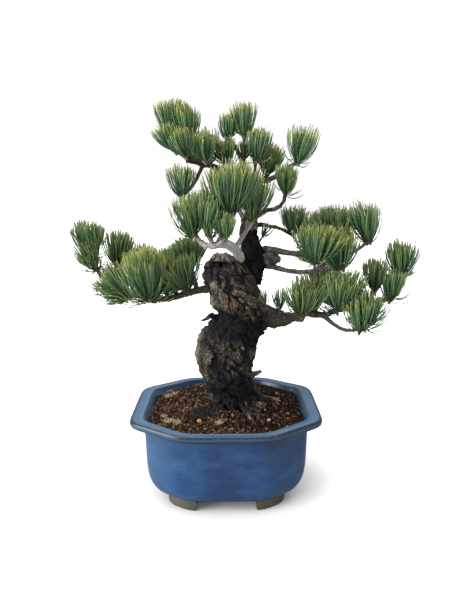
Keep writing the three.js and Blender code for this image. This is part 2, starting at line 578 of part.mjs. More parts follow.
const woodRoom = [stemRoom];
for (const [name, limbs] of Object.entries(BRANCHES)) {
  addPiece(name, branchWood(limbs).subtract(stemRoom), 'bark');
  woodRoom.push(branchWood(limbs, ROOM));
}

const tufts = Object.fromEntries(Object.entries(TUFTS).map(([name, shape]) => [name, tuft(shape)]));
for (const [name, solid] of Object.entries(separated(tufts, TUFTS, woodRoom))) {
  addPiece(name, solid, 'needles');
}

// The origin goes under the middle of the whole tree.
const box = new THREE.Box3().setFromObject(group);
const middle = box.getCenter(new THREE.Vector3());
group.position.set(-middle.x, -middle.y, -box.min.z);

export default group;
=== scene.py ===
"""A bonsai pine in a glazed pot: fine surfaces, bark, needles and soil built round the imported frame."""

import math

import bmesh
import bpy
import numpy as np
from bpy.props import FloatProperty, FloatVectorProperty, IntProperty, PointerProperty
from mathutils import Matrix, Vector, noise
from mathutils.bvhtree import BVHTree


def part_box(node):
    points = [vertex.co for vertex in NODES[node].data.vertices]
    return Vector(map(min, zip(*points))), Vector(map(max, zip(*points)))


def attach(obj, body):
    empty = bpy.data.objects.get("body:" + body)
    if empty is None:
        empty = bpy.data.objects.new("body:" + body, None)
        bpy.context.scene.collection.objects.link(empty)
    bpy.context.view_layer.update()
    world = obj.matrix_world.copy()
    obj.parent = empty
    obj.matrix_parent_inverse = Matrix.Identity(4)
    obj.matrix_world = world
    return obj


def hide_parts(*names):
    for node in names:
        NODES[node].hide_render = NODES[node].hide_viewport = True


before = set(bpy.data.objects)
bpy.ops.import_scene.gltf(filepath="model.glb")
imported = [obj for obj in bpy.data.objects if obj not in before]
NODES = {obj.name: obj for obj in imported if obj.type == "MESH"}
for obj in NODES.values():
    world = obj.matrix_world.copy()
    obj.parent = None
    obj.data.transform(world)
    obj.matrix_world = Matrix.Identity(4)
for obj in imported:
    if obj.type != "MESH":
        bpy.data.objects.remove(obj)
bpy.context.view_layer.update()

bl_info = {
    "name": "Bonsai pine in a pot",
    "version": (1, 0, 0),
    "blender": (4, 5, 0),
    "location": "View3D > Sidebar > Bonsai",
    "description": "Builds a bonsai pine, its soil and its glazed pot round a fixed frame",
    "category": "Object",
}

MM = 0.001
POT_LOW, POT_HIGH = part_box("pot")
POT_MIDDLE = (POT_LOW + POT_HIGH) / 2
BRANCH_NODES = sorted(name for name in NODES if name.startswith("branch_"))
TUFT_NODES = sorted(name for name in NODES if name.startswith("tuft_"))
NEEDLE_MAP = "OFBake"  # across: the needle's own tone; up: how far along the needle


# ---------------------------------------------------------------- Settings
def colour(name, description, default):
    """A colour setting, in linear light."""
    return FloatVectorProperty(
        name=name, description=description, default=default, subtype="COLOR", size=3, min=0.0, max=1.0
    )


def number(name, description, default, **kind):
    """A number setting."""
    return FloatProperty(name=name, description=description, default=default, **kind)


def length(name, description, default):
    """A length setting, in metres."""
    return number(name, description, default, unit="LENGTH", subtype="DISTANCE")


def angle(name, description, default):
    """An angle setting, in radians."""
    return number(name, description, default, unit="ROTATION", subtype="ANGLE")


class PotSettings(bpy.types.PropertyGroup):
    """The pot's glaze and clay."""

    glaze: colour("Glaze", "Glaze where it lies at its usual thickness", (0.012, 0.068, 0.20))
    glaze_light: colour("Light glaze", "Glaze in its paler clouds", (0.045, 0.155, 0.34))
    glaze_deep: colour("Deep glaze", "Glaze where it has run thick", (0.008, 0.030, 0.105))
    rim_glaze: colour("Rim glaze", "Thinner, greyer glaze on the flat of the rim", (0.085, 0.18, 0.29))
    # Painted light: the glaze is painted paler towards the pot's left end, where the light falls from the
    # left.
    wash: colour("Wash", "Chalky glaze over one end", (0.085, 0.20, 0.36))
    # Also the painted shade under the rim's lip.
    break_and_shade_tone: colour("Breaking edge", "Glaze worn thin over the rim's edges", (0.012, 0.012, 0.011))
    clay: colour("Bare clay", "Fired clay of the feet, base and inside", (0.115, 0.105, 0.075))


class SoilSettings(bpy.types.PropertyGroup):
    """The soil on top of the pot."""

    dark_grain: colour("Dark grain", "Damp granules", (0.010, 0.006, 0.004))
    brown_grain: colour("Brown grain", "Most granules", (0.078, 0.041, 0.023))
    red_grain: colour("Dry grain", "Drier granules", (0.25, 0.15, 0.088))
    grain_size: length("Grain size", "Usual width of a granule", 3.3 * MM)
    seed: IntProperty(name="Seed", description="Fixes where the granules fall", default=7)


class WoodSettings(bpy.types.PropertyGroup):
    """Bark of the trunk and branches."""

    # Also the painted shade in the crevices and in the trunk's dark patches.
    bark_dark: colour("Dark bark", "Crevices and damp bark", (0.0125, 0.0135, 0.0145))
    bark_mid: colour("Bark", "The plates' usual tone", (0.072, 0.059, 0.045))
    # Also the painted highlight on the plates' lips and the painted light in the trunk's pale patches.
    bark_pale: colour("Weathered bark", "Dry edges of the plates", (0.36, 0.31, 0.235))
    bark_rust: colour("Rust bark", "Freshly bared inner bark", (0.185, 0.105, 0.07))
    bark_tan: colour("Tan bark", "Dry inner bark", (0.30, 0.20, 0.12))
    young: colour("Young bark", "Scaly bark of the branches", (0.23, 0.205, 0.165))
    # Paler than the bark itself, to make up for the canopy's shade over the front branch: partly painted
    # light.
    pale_young: colour("Pale bark", "Smooth grey bark of the front branch", (0.95, 0.93, 0.83))
    shoot: colour("Shoot", "Thin brown side shoots", (0.125, 0.075, 0.048))
    twig: colour("Twig", "This year's twig ends", (0.20, 0.085, 0.045))
    trunk_voxel: length("Trunk detail", "Size of the smallest form on the trunk", 0.85 * MM)
    branch_voxel: length("Branch detail", "Size of the smallest form on a branch", 0.6 * MM)


class NeedleSettings(bpy.types.PropertyGroup):
    """The pine needles."""

    base: colour("Needle base", "Shaded lower part of a needle", (0.035, 0.085, 0.035))
    middle: colour("Needle", "Middle of a needle", (0.235, 0.385, 0.165))
    tip: colour("Needle tip", "Sunlit end of a needle", (0.72, 0.66, 0.16))
    thickness: length("Thickness", "Width of one needle", 1.3 * MM)
    density: number("Density", "Needles on a shoot for each square millimetre of its reach squared", 0.26)
    seed: IntProperty(name="Seed", description="Fixes how the needles grow", default=23)


class StudioSettings(bpy.types.PropertyGroup):
    """The floor, the lights and the camera."""

    floor: colour("Floor", "Plain pale floor", (0.93, 0.93, 0.93))
    ambient: number("Ambient light", "Brightness of the room round the tree", 0.44)
    key_power: number("Key light", "Strength of the main soft light", 2.2)
    distance: length("Camera distance", "Camera to the pot's middle, along the floor", 528 * MM)
    height: length("Camera height", "Camera above the floor", 324.2 * MM)
    pitch: angle("Pitch", "Downward tilt", 0.213)
    yaw: angle("Yaw", "Turn to the right", 0.018)
    lens: number("Lens", "Focal length in millimetres", 30.71)


# ---------------------------------------------------------------- Mesh helpers
def band_faces(levels, count):
    """Quads between neighbouring rings of a tube, level by level, as point numbers."""
    index = np.arange(levels * count).reshape(levels, count)
    after = np.roll(index, -1, axis=1)
    return np.stack([index[:-1], after[:-1], after[1:], index[1:]], axis=-1).reshape(-1, 4)


def grid_mesh(name, rings, shares):
    """A mesh skinned over an array of rings (levels, points, 3), each end closed onto its middle.

    Shares hold one number per level, under the names that the materials read."""
    levels, count = rings.shape[:2]
    total = levels * count
    turn, after = np.arange(count), np.roll(np.arange(count), -1)
    first = np.stack([np.full(count, total), after, turn], axis=-1)
    last = np.stack([np.full(count, total + 1), turn + total - count, after + total - count], axis=-1)
    points = np.concatenate([rings.reshape(-1, 3), rings[[0, -1]].mean(axis=1)])
    mesh = bpy.data.meshes.new(name)
    mesh.from_pydata(points.tolist(), [], band_faces(levels, count).tolist() + first.tolist() + last.tolist())
    for key, values in shares.items():
        set_float(mesh, key, np.concatenate([np.repeat(values, count), values[:1], values[-1:]]))
    mesh.update()
    return mesh


def mesh_from_arrays(name, points, faces):
    """A mesh from arrays of points and of faces with equal corner counts."""
    mesh = bpy.data.meshes.new(name)
    corners = faces.shape[1]
    mesh.vertices.add(len(points))
    mesh.vertices.foreach_set("co", np.ascontiguousarray(points, np.float32).ravel())
    mesh.loops.add(faces.size)
    mesh.loops.foreach_set("vertex_index", np.ascontiguousarray(faces, np.int32).ravel())
    mesh.polygons.add(len(faces))
    mesh.polygons.foreach_set("loop_start", np.arange(0, faces.size, corners, dtype=np.int32))
    mesh.update(calc_edges=True)
    return mesh


def set_float(mesh, name, values):
    """Stores one number per point under a name that the materials read."""
    layer = mesh.attributes.get(name) or mesh.attributes.new(name, "FLOAT", "POINT")
    layer.data.foreach_set("value", np.ascontiguousarray(values, np.float32))


def read_vectors(mesh, key):
    """One vector of every point of a mesh, as an array."""
    found = np.empty(len(mesh.vertices) * 3, np.float32)
    mesh.vertices.foreach_get(key, found)
    return found.reshape(-1, 3).astype(np.float64)


def points_of(mesh):
    """The mesh's points as an array."""
    return read_vectors(mesh, "co")


def normals_of(mesh):
    """The mesh's point normals as an array."""
    return read_vectors(mesh, "normal")


def move_points(mesh, points):
    """Puts the mesh's points at new places."""
    mesh.vertices.foreach_set("co", points.astype(np.float32).ravel())


def add_piece(name, mesh, materials, nodes=(), smooth=True):
    """Places a finished mesh as a piece of the root body, standing for the CAD nodes given."""
    piece = bpy.data.objects.new(name, mesh)
    bpy.context.scene.collection.objects.link(piece)
    for material in materials:
        mesh.materials.append(material)
    mesh.polygons.foreach_set("use_smooth", np.full(len(mesh.polygons), smooth))
    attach(piece, "root")
    if nodes:
        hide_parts(*nodes)
    return piece


def evaluated_mesh(mesh, *modifiers):
    """A new mesh: the given one after the modifiers, each a type and its settings."""
    holder = bpy.data.objects.new("holder", mesh)
    bpy.context.scene.collection.objects.link(holder)
    for kind, settings in modifiers:
        modifier = holder.modifiers.new(kind.lower(), kind)
        for key, value in settings.items():
            setattr(modifier, key, value)
    graph = bpy.context.evaluated_depsgraph_get()
    result = bpy.data.meshes.new_from_object(holder.evaluated_get(graph))
    bpy.data.objects.remove(holder)
    return result


def mesh_of(work, name):
    """A new mesh from a bmesh, which is freed."""
    mesh = bpy.data.meshes.new(name)
    work.to_mesh(mesh)
    work.free()
    return mesh


def welded(mesh):
    """A copy of a mesh whose points in one place are joined."""
    work = bmesh.new()
    work.from_mesh(mesh)
    bmesh.ops.remove_doubles(work, verts=work.verts, dist=0.01 * MM)
    return mesh_of(work, mesh.name + "_welded")


def smooth_line(stations, per_span):
    """Points on a smooth line through the stations, as an array."""
    given = np.array(stations, float)
    ends = np.vstack([2 * given[0] - given[1], given, 2 * given[-1] - given[-2]])
    share = np.linspace(0, 1, per_span, endpoint=False)[:, None]
    spans = []
    for a, b, c, d in zip(ends, ends[1:], ends[2:], ends[3:]):
        bend = (a - 2.5 * b + 2 * c - d / 2) + share * (1.5 * (b - c) + (d - a) / 2)
        spans.append(b + share * ((c - a) / 2 + share * bend))
    return np.vstack(spans + [given[-1:]])


def from_pot(x, y):
    """A place given in millimetres from the pot's middle, in the frame."""
    return POT_MIDDLE.x + x * MM, POT_MIDDLE.y + y * MM


def smooth_step(low, high, value):
    """0 below low, 1 above high, and a smooth rise between."""
    share = np.clip((value - low) / (high - low), 0.0, 1.0)
    return share * share * (3 - 2 * share)


# ---------------------------------------------------------------- Material helpers
def shade(tone, share):
    """A colour made darker."""
    return tuple(c * share for c in tone)


def between(first, second, share):
    """A colour part of the way from the first to the second."""
    return tuple(a * (1 - share) + b * share for a, b in zip(first, second))


def feed(tree, socket, value):
    """Links an input to another node's output, or sets a fixed number, vector or colour on it."""
    if isinstance(value, bpy.types.NodeSocket):
        tree.links.new(value, socket)
    else:
        socket.default_value = (*value, 1.0) if socket.type == "RGBA" else value


def feed_named(tree, node, inputs):
    """Feeds a node's inputs by name; an underscore stands for a space."""
    for key, value in inputs.items():
        feed(tree, node.inputs[key.replace("_", " ")], value)


def add_node(tree, kind, **inputs):
    """A shader node with its inputs fed."""
    made = tree.nodes.new("ShaderNode" + kind)
    feed_named(tree, made, inputs)
    return made


def arrange(tree):
    """Lays the nodes out in columns, by how far each is from the end."""
    columns = {}
    waiting = [(node, 0) for node in tree.nodes if not any(socket.is_linked for socket in node.outputs)]
    while waiting:
        node, column = waiting.pop()
        if columns.get(node.name, -1) < column:
            columns[node.name] = column
            waiting += [(link.from_node, column + 1) for socket in node.inputs for link in socket.links]
    rows = {}
    for name, column in columns.items():
        rows[column] = rows.get(column, 0) + 1
        tree.nodes[name].location = (-240 * column, -260 * rows[column])


def new_material(name):
    """A material and its node tree."""
    material = bpy.data.materials.new(name)
    material.use_nodes = True
    return material, material.node_tree


def finish_material(material, **inputs):
    """Feeds the material's Principled shader and lays its nodes out."""
    feed_named(material.node_tree, material.node_tree.nodes["Principled BSDF"], inputs)
    arrange(material.node_tree)
    return material


def ramp(tree, factor, stops):
    """A colour ramp through the stops."""
    made = add_node(tree, "ValToRGB", Fac=factor)
    elements = made.color_ramp.elements
    while len(elements) < len(stops):
        elements.new(0.5)
    for element, (place, tone) in zip(elements, stops):
        element.position = place
        element.color = (*tone, 1.0)
    return made.outputs["Color"]


def mix(tree, factor, first, second):
    """Mixes two colours, each a socket or a fixed colour."""
    made = tree.nodes.new("ShaderNodeMix")
    made.data_type = "RGBA"
    for place, value in ((0, factor), (6, first), (7, second)):
        feed(tree, made.inputs[place], value)
    return made.outputs[2]


def calculate(tree, operation, *values, clamp=False):
    """One Math node on sockets or numbers."""
    made = tree.nodes.new("ShaderNodeMath")
    made.operation, made.use_clamp = operation, clamp
    for socket, value in zip(made.inputs, values):
        feed(tree, socket, value)
    return made.outputs[0]


def vector_math(tree, operation, *values):
    """One Vector Math node on sockets or vectors."""
    made = tree.nodes.new("ShaderNodeVectorMath")
    made.operation = operation
    for socket, value in zip(made.inputs, values):
        feed(tree, socket, value)
    return made.outputs["Value" if operation == "DISTANCE" else "Vector"]


def map_range(tree, value, low, high, first=0.0, last=1.0, smooth=False):
    """Maps a value from low..high to first..last."""
    made = add_node(tree, "MapRange", Value=value, From_Min=low, From_Max=high, To_Min=first, To_Max=last)
    if smooth:
        made.interpolation_type = "SMOOTHSTEP"
    return made.outputs["Result"]


def scaled(tree, mask, share):
    """A mask made weaker."""
    return calculate(tree, "MULTIPLY", mask, share)


def attribute(tree, name):
    """The number stored on the mesh under a name."""
    made = add_node(tree, "Attribute")
    made.attribute_name = name
    return made.outputs["Fac"]


def rest_of(tree, name):
    """One less the number stored on the mesh under a name."""
    return calculate(tree, "SUBTRACT", 1.0, attribute(tree, name), clamp=True)


def ragged(tree, name, mask, share, least):
    """The number stored on the mesh under a name, broken up by a mask."""
    level = calculate(tree, "MULTIPLY_ADD", mask, share, least)
    return calculate(tree, "MULTIPLY", attribute(tree, name), level, clamp=True)


def bump(tree, height, strength, distance):
    """The normal that a height gives."""
    return add_node(tree, "Bump", Strength=strength, Distance=distance, Height=height).outputs["Normal"]


def place_on_object(tree):
    """The place on the object."""
    return add_node(tree, "TexCoord").outputs["Object"]


def drawn_place(group, stretch):
    """The place on the object, with its height scaled by the stretch."""
    scale = add_node(group, "CombineXYZ", X=1.0, Y=1.0, Z=stretch).outputs[0]
    return vector_math(group, "MULTIPLY", place_on_object(group), scale)


def clouds_group(group, given):
    """Soft cloudy blotches."""
    place = drawn_place(group, given["Stretch"])
    blotches = add_node(group, "TexNoise", Vector=place, Scale=given["Scale"], Detail=5.0, Roughness=0.6)
    return map_range(group, blotches.outputs["Fac"], given["Low"], given["High"], smooth=True)


def specks_group(group, given):
    """Scattered small round spots."""
    cells = add_node(group, "TexVoronoi", Vector=place_on_object(group), Scale=given["Scale"])
    inside = calculate(group, "LESS_THAN", cells.outputs["Distance"], given["Size"])
    chance = add_node(group, "SeparateColor", Color=cells.outputs["Color"]).outputs[0]
    return calculate(group, "MULTIPLY", inside, calculate(group, "GREATER_THAN", chance, given["Rarity"]))


def cracks_group(group, given):
    """A net of thin wandering cracks."""
    drift = add_node(group, "TexNoise", Vector=place_on_object(group), Scale=90.0, Detail=4.0)
    shift = vector_math(group, "MULTIPLY", drift.outputs["Color"], given["Wander"])
    moved = vector_math(group, "ADD", drawn_place(group, given["Stretch"]), shift)
    cells = add_node(group, "TexVoronoi", Scale=given["Scale"])
    cells.feature = "DISTANCE_TO_EDGE"
    group.links.new(moved, cells.inputs["Vector"])
    return map_range(group, cells.outputs["Distance"], 0.0, given["Width"], 1.0, 0.0)


# The effects that several materials share, each a node group: what builds it and its usual values.
EFFECTS = {
    "clouds": (clouds_group, {"Scale": 20.0, "Stretch": 1.0, "Low": 0.35, "High": 0.65}),
    "specks": (specks_group, {"Scale": 300.0, "Size": 0.2, "Rarity": 0.8}),
    "cracks": (cracks_group, {"Scale": 150.0, "Width": 0.08, "Stretch": 0.6, "Wander": 0.012}),
}


def effect(tree, name, **inputs):
    """An effect's mask, from 0 to 1; its node group is made on first use."""
    group = bpy.data.node_groups.get(name)
    if group is None:
        build, usual = EFFECTS[name]
        group = bpy.data.node_groups.new(name, "ShaderNodeTree")
        for key, value in usual.items():
            socket = group.interface.new_socket(name=key, in_out="INPUT", socket_type="NodeSocketFloat")
            socket.default_value = value
        group.interface.new_socket(name="Mask", in_out="OUTPUT", socket_type="NodeSocketFloat")
        given, result = group.nodes.new("NodeGroupInput"), group.nodes.new("NodeGroupOutput")
        group.links.new(build(group, given.outputs), result.inputs["Mask"])
        arrange(group)
    made = tree.nodes.new("ShaderNodeGroup")
    made.node_tree = group
    feed_named(tree, made, inputs)
    return made.outputs["Mask"]


# ---------------------------------------------------------------- Pot
DEPTH_SHARE = 0.57  # front and back draw in by this share of what the sides do
CORNER_ACROSS = (3.9, 2.98)  # where a corner's line would meet the long axis, low and high
CORNER_DEEP = 2.0  # and where it would meet the short one
CORNER_TOP = 80 * MM  # the corners draw in more and more up to this height
CORNER_HOLLOW = 0.6
EDGE_SHARPNESS = 20
POT_POINTS = 264
# The pot's section: millimetres in from the rim's outer edge, millimetres up, how far the glaze
# has broken to brown (under the lip this darkening is painted shade), how bare the clay is, and how much of
# the rim's paler glaze it has.
POT_SECTION = [
    (36.0, 12.5, 0, 1, 0), (34.8, 12.8, 0.3, 0.8, 0), (33.4, 13.7, 0.5, 0, 0), (31.2, 14.9, 0.1, 0, 0),
    (28.4, 16.8, 0, 0, 0), (26.0, 19.0, 0, 0, 0), (24.0, 21.6, 0, 0, 0), (22.0, 24.7, 0, 0, 0),
    (20.4, 27.8, 0, 0, 0), (18.4, 33.6, 0, 0, 0), (17.2, 40.0, 0, 0, 0), (16.4, 47.0, 0, 0, 0),
    (15.8, 58.0, 0, 0, 0), (15.2, 69.0, 0, 0, 0), (14.7, 77.0, 0, 0, 0), (14.3, 82.6, 0, 0, 0),
    # The rows under the lip, 85 to 88 mm up, darken the glaze's underside: painted shade.
    (13.3, 85.2, 0.25, 0, 0), (10.8, 86.3, 0.4, 0, 0), (7.0, 86.5, 0.3, 0, 0), (4.0, 86.6, 0.3, 0, 0),
    (1.7, 87.1, 0.9, 0, 0), (0.5, 88.3, 0.8, 0, 0), (0.1, 89.8, 0.35, 0, 0.3), (0.1, 91.0, 0.35, 0, 0.5),
    (0.5, 92.4, 1, 0, 0.5), (1.5, 93.5, 1, 0, 1), (3.0, 94.0, 0.7, 0, 1), (4.6, 93.9, 0, 0, 1),
    (7.4, 93.5, 0, 0, 1), (10.4, 93.4, 0, 0, 1), (12.6, 93.8, 0.1, 0, 1), (14.2, 93.9, 0.9, 0, 1),
    (15.4, 93.2, 0.7, 0, 0.4), (16.4, 91.8, 0.25, 0, 0), (18.4, 88.6, 0.3, 0, 0), (21.5, 84.0, 0.9, 0.3, 0),
    (23.4, 68.0, 0, 1, 0), (25.5, 48.0, 0, 1, 0), (30.0, 32.0, 0, 1, 0), (37.0, 24.5, 0, 1, 0),
    (47.0, 20.0, 0, 1, 0),
]
# A foot's section: millimetres in from the rim to its outer and its inner face, and millimetres up.
FOOT_SECTION = [
    (37.3, 54.0, 13.6), (37.4, 54.1, 9.0), (37.7, 54.4, 4.6),
    (38.3, 54.9, 1.9), (39.2, 55.5, 0.6), (40.2, 56.0, 0.0),
]
FOOT_CUT = (30.0, 15.0)  # the feet begin this far out along the two axes, in millimetres
FOOT_TAPER = 2.2  # the feet's ends slope in by this much, in millimetres
GLAZE_SHARES = ("glaze_break_and_shade", "bare_clay", "rim_glaze")
# Round holes through the floor, two of each kind: distance from the middle and radius, in millimetres.
FLOOR_HOLES = ((30.0, 10.0), (11.0, 3.0))
# Where the painted light on the left end starts and where it is full, across the pot.
PAINTED_LIGHT_FROM, PAINTED_LIGHT_FULL = -40 * MM, -88 * MM  # the wash's start and its full strength, across the pot


def pot_outline(inset, height, count=POT_POINTS):
    """The drawn-in octagon this far in from the rim's edge at a height, as x and y from the middle."""
    half_width = (POT_HIGH.x - POT_LOW.x) / 2 - inset
    half_depth = (POT_HIGH.y - POT_LOW.y) / 2 - inset * DEPTH_SHARE
    turn = np.arange(count) / count * 2 * math.pi
    angle = np.arctan2(half_depth * np.sin(turn), half_width * np.cos(turn))
    across = np.abs(np.cos(angle)) / half_width
    deep = np.abs(np.sin(angle)) / half_depth
    low, high = CORNER_ACROSS
    corner_across = low + (high - low) * min(1.0, max(0.0, height / CORNER_TOP))
    corner = (across / corner_across) ** CORNER_HOLLOW + (deep / CORNER_DEEP) ** CORNER_HOLLOW
    corner = corner ** (1 / CORNER_HOLLOW)
    sides = np.stack([across, deep, corner]) * half_width
    reach = np.sum(sides**EDGE_SHARPNESS, axis=0) ** (-1 / EDGE_SHARPNESS) * half_width
    return np.stack([reach * np.cos(angle), reach * np.sin(angle)], axis=-1)


def pot_ring(inset, height):
    """An outline placed at a height in the frame."""
    flat = pot_outline(inset, height)
    ring = np.full((len(flat), 3), height)
    ring[:, :2] = flat + [POT_MIDDLE.x, POT_MIDDLE.y]
    return ring


def foot_mesh(right, back):
    """One L-shaped foot: the stretch of a band under the body's edge that lies round one corner."""
    dense = 8 * POT_POINTS

    def arc(inset, shrink, count=60):
        flat = pot_outline(inset * MM, 0.0, dense)
        keep = flat * [right, back] > (np.array(FOOT_CUT) + shrink) * MM
        found = flat[keep.all(axis=1)]
        found = found[np.argsort(np.arctan2(found[:, 1] * back, found[:, 0] * right))]
        return found[np.linspace(0, len(found) - 1, count).round().astype(int)]

    rings = []
    for outer, inner, height in FOOT_SECTION:
        shrink = FOOT_TAPER * max(0.0, 1 - height / 5)
        loop = np.vstack([arc(outer, shrink), arc(inner, shrink)[::-1]])
        level = np.full((len(loop), 1), height * MM)
        rings.append(np.hstack([loop + [POT_MIDDLE.x, POT_MIDDLE.y], level]))
    return np.array(rings)


def glaze_material(settings):
    """Mottled blue glaze that breaks to brown on the edges and leaves the clay bare below; under the lip the
    breaking tone is painted shade, and the left end is painted paler as painted light.
    """
    material, tree = new_material("cobalt_glaze")
    broad = effect(tree, "clouds", Scale=13.0, Stretch=1.6, Low=0.36, High=0.66)
    runs = effect(tree, "clouds", Scale=26.0, Stretch=2.4, Low=0.40, High=0.80)
    fine = effect(tree, "clouds", Scale=420.0)
    spots = effect(tree, "specks", Scale=120.0, Size=0.11, Rarity=0.972)
    faint, bare = scaled(tree, fine, 0.3), attribute(tree, "bare_clay")

    tone = mix(tree, broad, settings.glaze_deep, settings.glaze)
    tone = mix(tree, scaled(tree, runs, 0.6), tone, settings.glaze_light)
    # Painted light: paler glaze towards the left end.
    tone = mix(tree, scaled(tree, attribute(tree, "wash"), 0.55), tone, settings.wash)
    tone = mix(tree, faint, tone, settings.glaze)
    tone = mix(tree, ragged(tree, "rim_glaze", runs, 0.35, 0.6), tone, settings.rim_glaze)
    tone = mix(tree, spots, tone, (0.50, 0.56, 0.58))
    # Glaze broken to the dark tone over the edges; under the lip the same darkening is painted shade.
    tone = mix(tree, ragged(tree, "glaze_break_and_shade", fine, 0.3, 0.75), tone, settings.break_and_shade_tone)
    clay = mix(tree, effect(tree, "clouds", Scale=70.0), settings.clay, (0.055, 0.05, 0.04))
    clay = mix(tree, faint, clay, (0.22, 0.20, 0.16))
    height = calculate(tree, "ADD", runs, calculate(tree, "MULTIPLY", fine, bare))
    return finish_material(
        material,
        Base_Color=mix(tree, bare, tone, clay),
        Roughness=map_range(tree, bare, 0.0, 1.0, 0.3, 0.85),
        Coat_Weight=map_range(tree, bare, 0.0, 1.0, 0.15, 0.0),
        Coat_Roughness=0.2,
        Normal=bump(tree, height, 0.25, 0.3 * MM),
    )


class BONSAI_OT_pot(bpy.types.Operator):
    """Build the glazed pot with its rim, feet and drainage holes"""

    bl_idname = "bonsai.pot"
    bl_label = "Glazed pot"

    def execute(self, context):
        section = smooth_line(POT_SECTION, 5)
        rings = np.stack([pot_ring(inset * MM, height * MM) for inset, height, *_ in section])
        shares = {key: section[:, 2 + place].clip(0, 1) for place, key in enumerate(GLAZE_SHARES)}
        body = grid_mesh("pot_body", rings, shares)
        drills = bmesh.new()
        for across, radius in FLOOR_HOLES:
            for side in (-1, 1):
                wide = {"radius1": radius * MM, "radius2": radius * MM}
                made = bmesh.ops.create_cone(drills, cap_ends=True, segments=48, depth=30 * MM, **wide)
                middle = (*from_pot(side * across, 0), 16 * MM)
                bmesh.ops.translate(drills, verts=made["verts"], vec=middle)
        drill = bpy.data.objects.new("pot_drills", mesh_of(drills, "pot_drills"))
        context.scene.collection.objects.link(drill)
        cut = ("BOOLEAN", {"object": drill, "operation": "DIFFERENCE", "solver": "EXACT"})
        drilled = evaluated_mesh(body, cut)
        bpy.data.objects.remove(drill)

        work = bmesh.new()
        work.from_mesh(drilled)
        for right in (-1, 1):
            for back in (-1, 1):
                rings = foot_mesh(right, back)
                shares = {key: np.full(len(rings), float(key == "bare_clay")) for key in GLAZE_SHARES}
                work.from_mesh(grid_mesh("foot", rings, shares))
        bmesh.ops.recalc_face_normals(work, faces=work.faces)
        mesh = mesh_of(work, "glazed_pot")
        across = points_of(mesh)[:, 0] - POT_MIDDLE.x
        # Painted light: how much paler the glaze is painted towards the left end.
        set_float(mesh, "wash", 1 - smooth_step(PAINTED_LIGHT_FULL, PAINTED_LIGHT_FROM, across))
        add_piece("glazed_pot", mesh, [glaze_material(context.scene.bonsai_pot)], ["pot"])
        return {"FINISHED"}


# ---------------------------------------------------------------- Fittings inside the pot
def dress(names, material):
    """Gives CAD nodes that stay as they are their own material."""
    for name in names:
        for place in NODES[name].material_slots:
            place.link = "OBJECT"
            place.material = material


def mottled_material(name, first, second, strength, distance, spread, **inputs):
    """A dull material of two clouded tones."""
    material, tree = new_material(name)
    dull = effect(tree, "clouds", **spread)
    tone, normal = mix(tree, dull, first, second), bump(tree, dull, strength, distance)
    return finish_material(material, Base_Color=tone, Normal=normal, **inputs)


class BONSAI_OT_fittings(bpy.types.Operator):
    """Give the drainage screens, clips, tie wire and gravel their finishes"""

    bl_idname = "bonsai.fittings"
    bl_label = "Screens, wires and gravel"

    def execute(self, context):
        spread = {"Scale": 260.0, "Low": 0.45, "High": 0.75}
        screen = mottled_material(
            "screen_plastic", (0.018, 0.02, 0.022), (0.07, 0.06, 0.05), 0.3, 0.1 * MM, spread, Roughness=0.5
        )
        dress(["drainage_screen_left", "drainage_screen_right"], screen)
        spread, metal = {"Scale": 500.0, "Low": 0.35, "High": 0.7}, {"Roughness": 0.35, "Metallic": 1.0}
        wire = mottled_material(
            "aluminium_wire", (0.46, 0.45, 0.43), (0.24, 0.23, 0.22), 0.2, 0.05 * MM, spread, **metal
        )
        dress(["screen_clip_left", "screen_clip_right", "tie_wire"], wire)

        gravel, tree = new_material("washed_gravel")
        stones = add_node(tree, "TexVoronoi", Vector=place_on_object(tree), Scale=230.0)
        own = add_node(tree, "SeparateColor", Color=stones.outputs["Color"]).outputs[0]
        tone = ramp(tree, own, [(0, (0.10, 0.09, 0.08)), (0.5, (0.27, 0.24, 0.20)), (1, (0.42, 0.39, 0.35))])
        dome = calculate(tree, "SUBTRACT", 1.0, stones.outputs["Distance"])
        normal = bump(tree, dome, 0.9, 2 * MM)
        dress(["gravel_layer"], finish_material(gravel, Base_Color=tone, Roughness=0.85, Normal=normal))
        return {"FINISHED"}


# ---------------------------------------------------------------- Soil
SOIL_LOW, SOIL_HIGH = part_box("soil_bed")
ROW_STEP, STAGGER = 0.87, 0.22  # the granules' rows and their scatter, in shares of their pitch
HEIGHT_SCATTER = 0.45 * MM
DEEPEST_IN_TRUNK = 0.4 * MM  # a granule's middle may lie this far inside the trunk
BRIGHT_SHARE = 0.05  # of the granules are pale
GRIT = {"Low": 0.3, "High": 0.7}  # how sharply the fine grit shows


def sealed_tree(name):
    """A search tree over a CAD node's own surface."""
    mesh = NODES[name].data
    return BVHTree.FromPolygons(
        [vertex.co.copy() for vertex in mesh.vertices], [tuple(polygon.vertices) for polygon in mesh.polygons]
    )


def depth_inside(tree, point):
    """How far a point is inside a closed surface; negative outside."""
    near, normal, _, distance = tree.find_nearest(point)
    return distance if (near - point).dot(normal) > 0 else -distance


def blob_shape(divisions):
    """Points and faces of a unit ball of small triangles."""
    work = bmesh.new()
    bmesh.ops.create_icosphere(work, subdivisions=divisions, radius=1.0)
    points = np.array([vertex.co[:] for vertex in work.verts])
    faces = np.array([[vertex.index for vertex in face.verts] for face in work.faces])
    work.free()
    return points, faces


def random_turns(rng, count):
    """Random rotation matrices."""
    q = rng.normal(size=(count, 4))
    q /= np.linalg.norm(q, axis=1, keepdims=True)
    w, x, y, z = q.T
    return np.stack([
        1 - 2 * (y * y + z * z), 2 * (x * y - z * w), 2 * (x * z + y * w),
        2 * (x * y + z * w), 1 - 2 * (x * x + z * z), 2 * (y * z - x * w),
        2 * (x * z - y * w), 2 * (y * z + x * w), 1 - 2 * (x * x + y * y),
    ], axis=-1).reshape(-1, 3, 3)


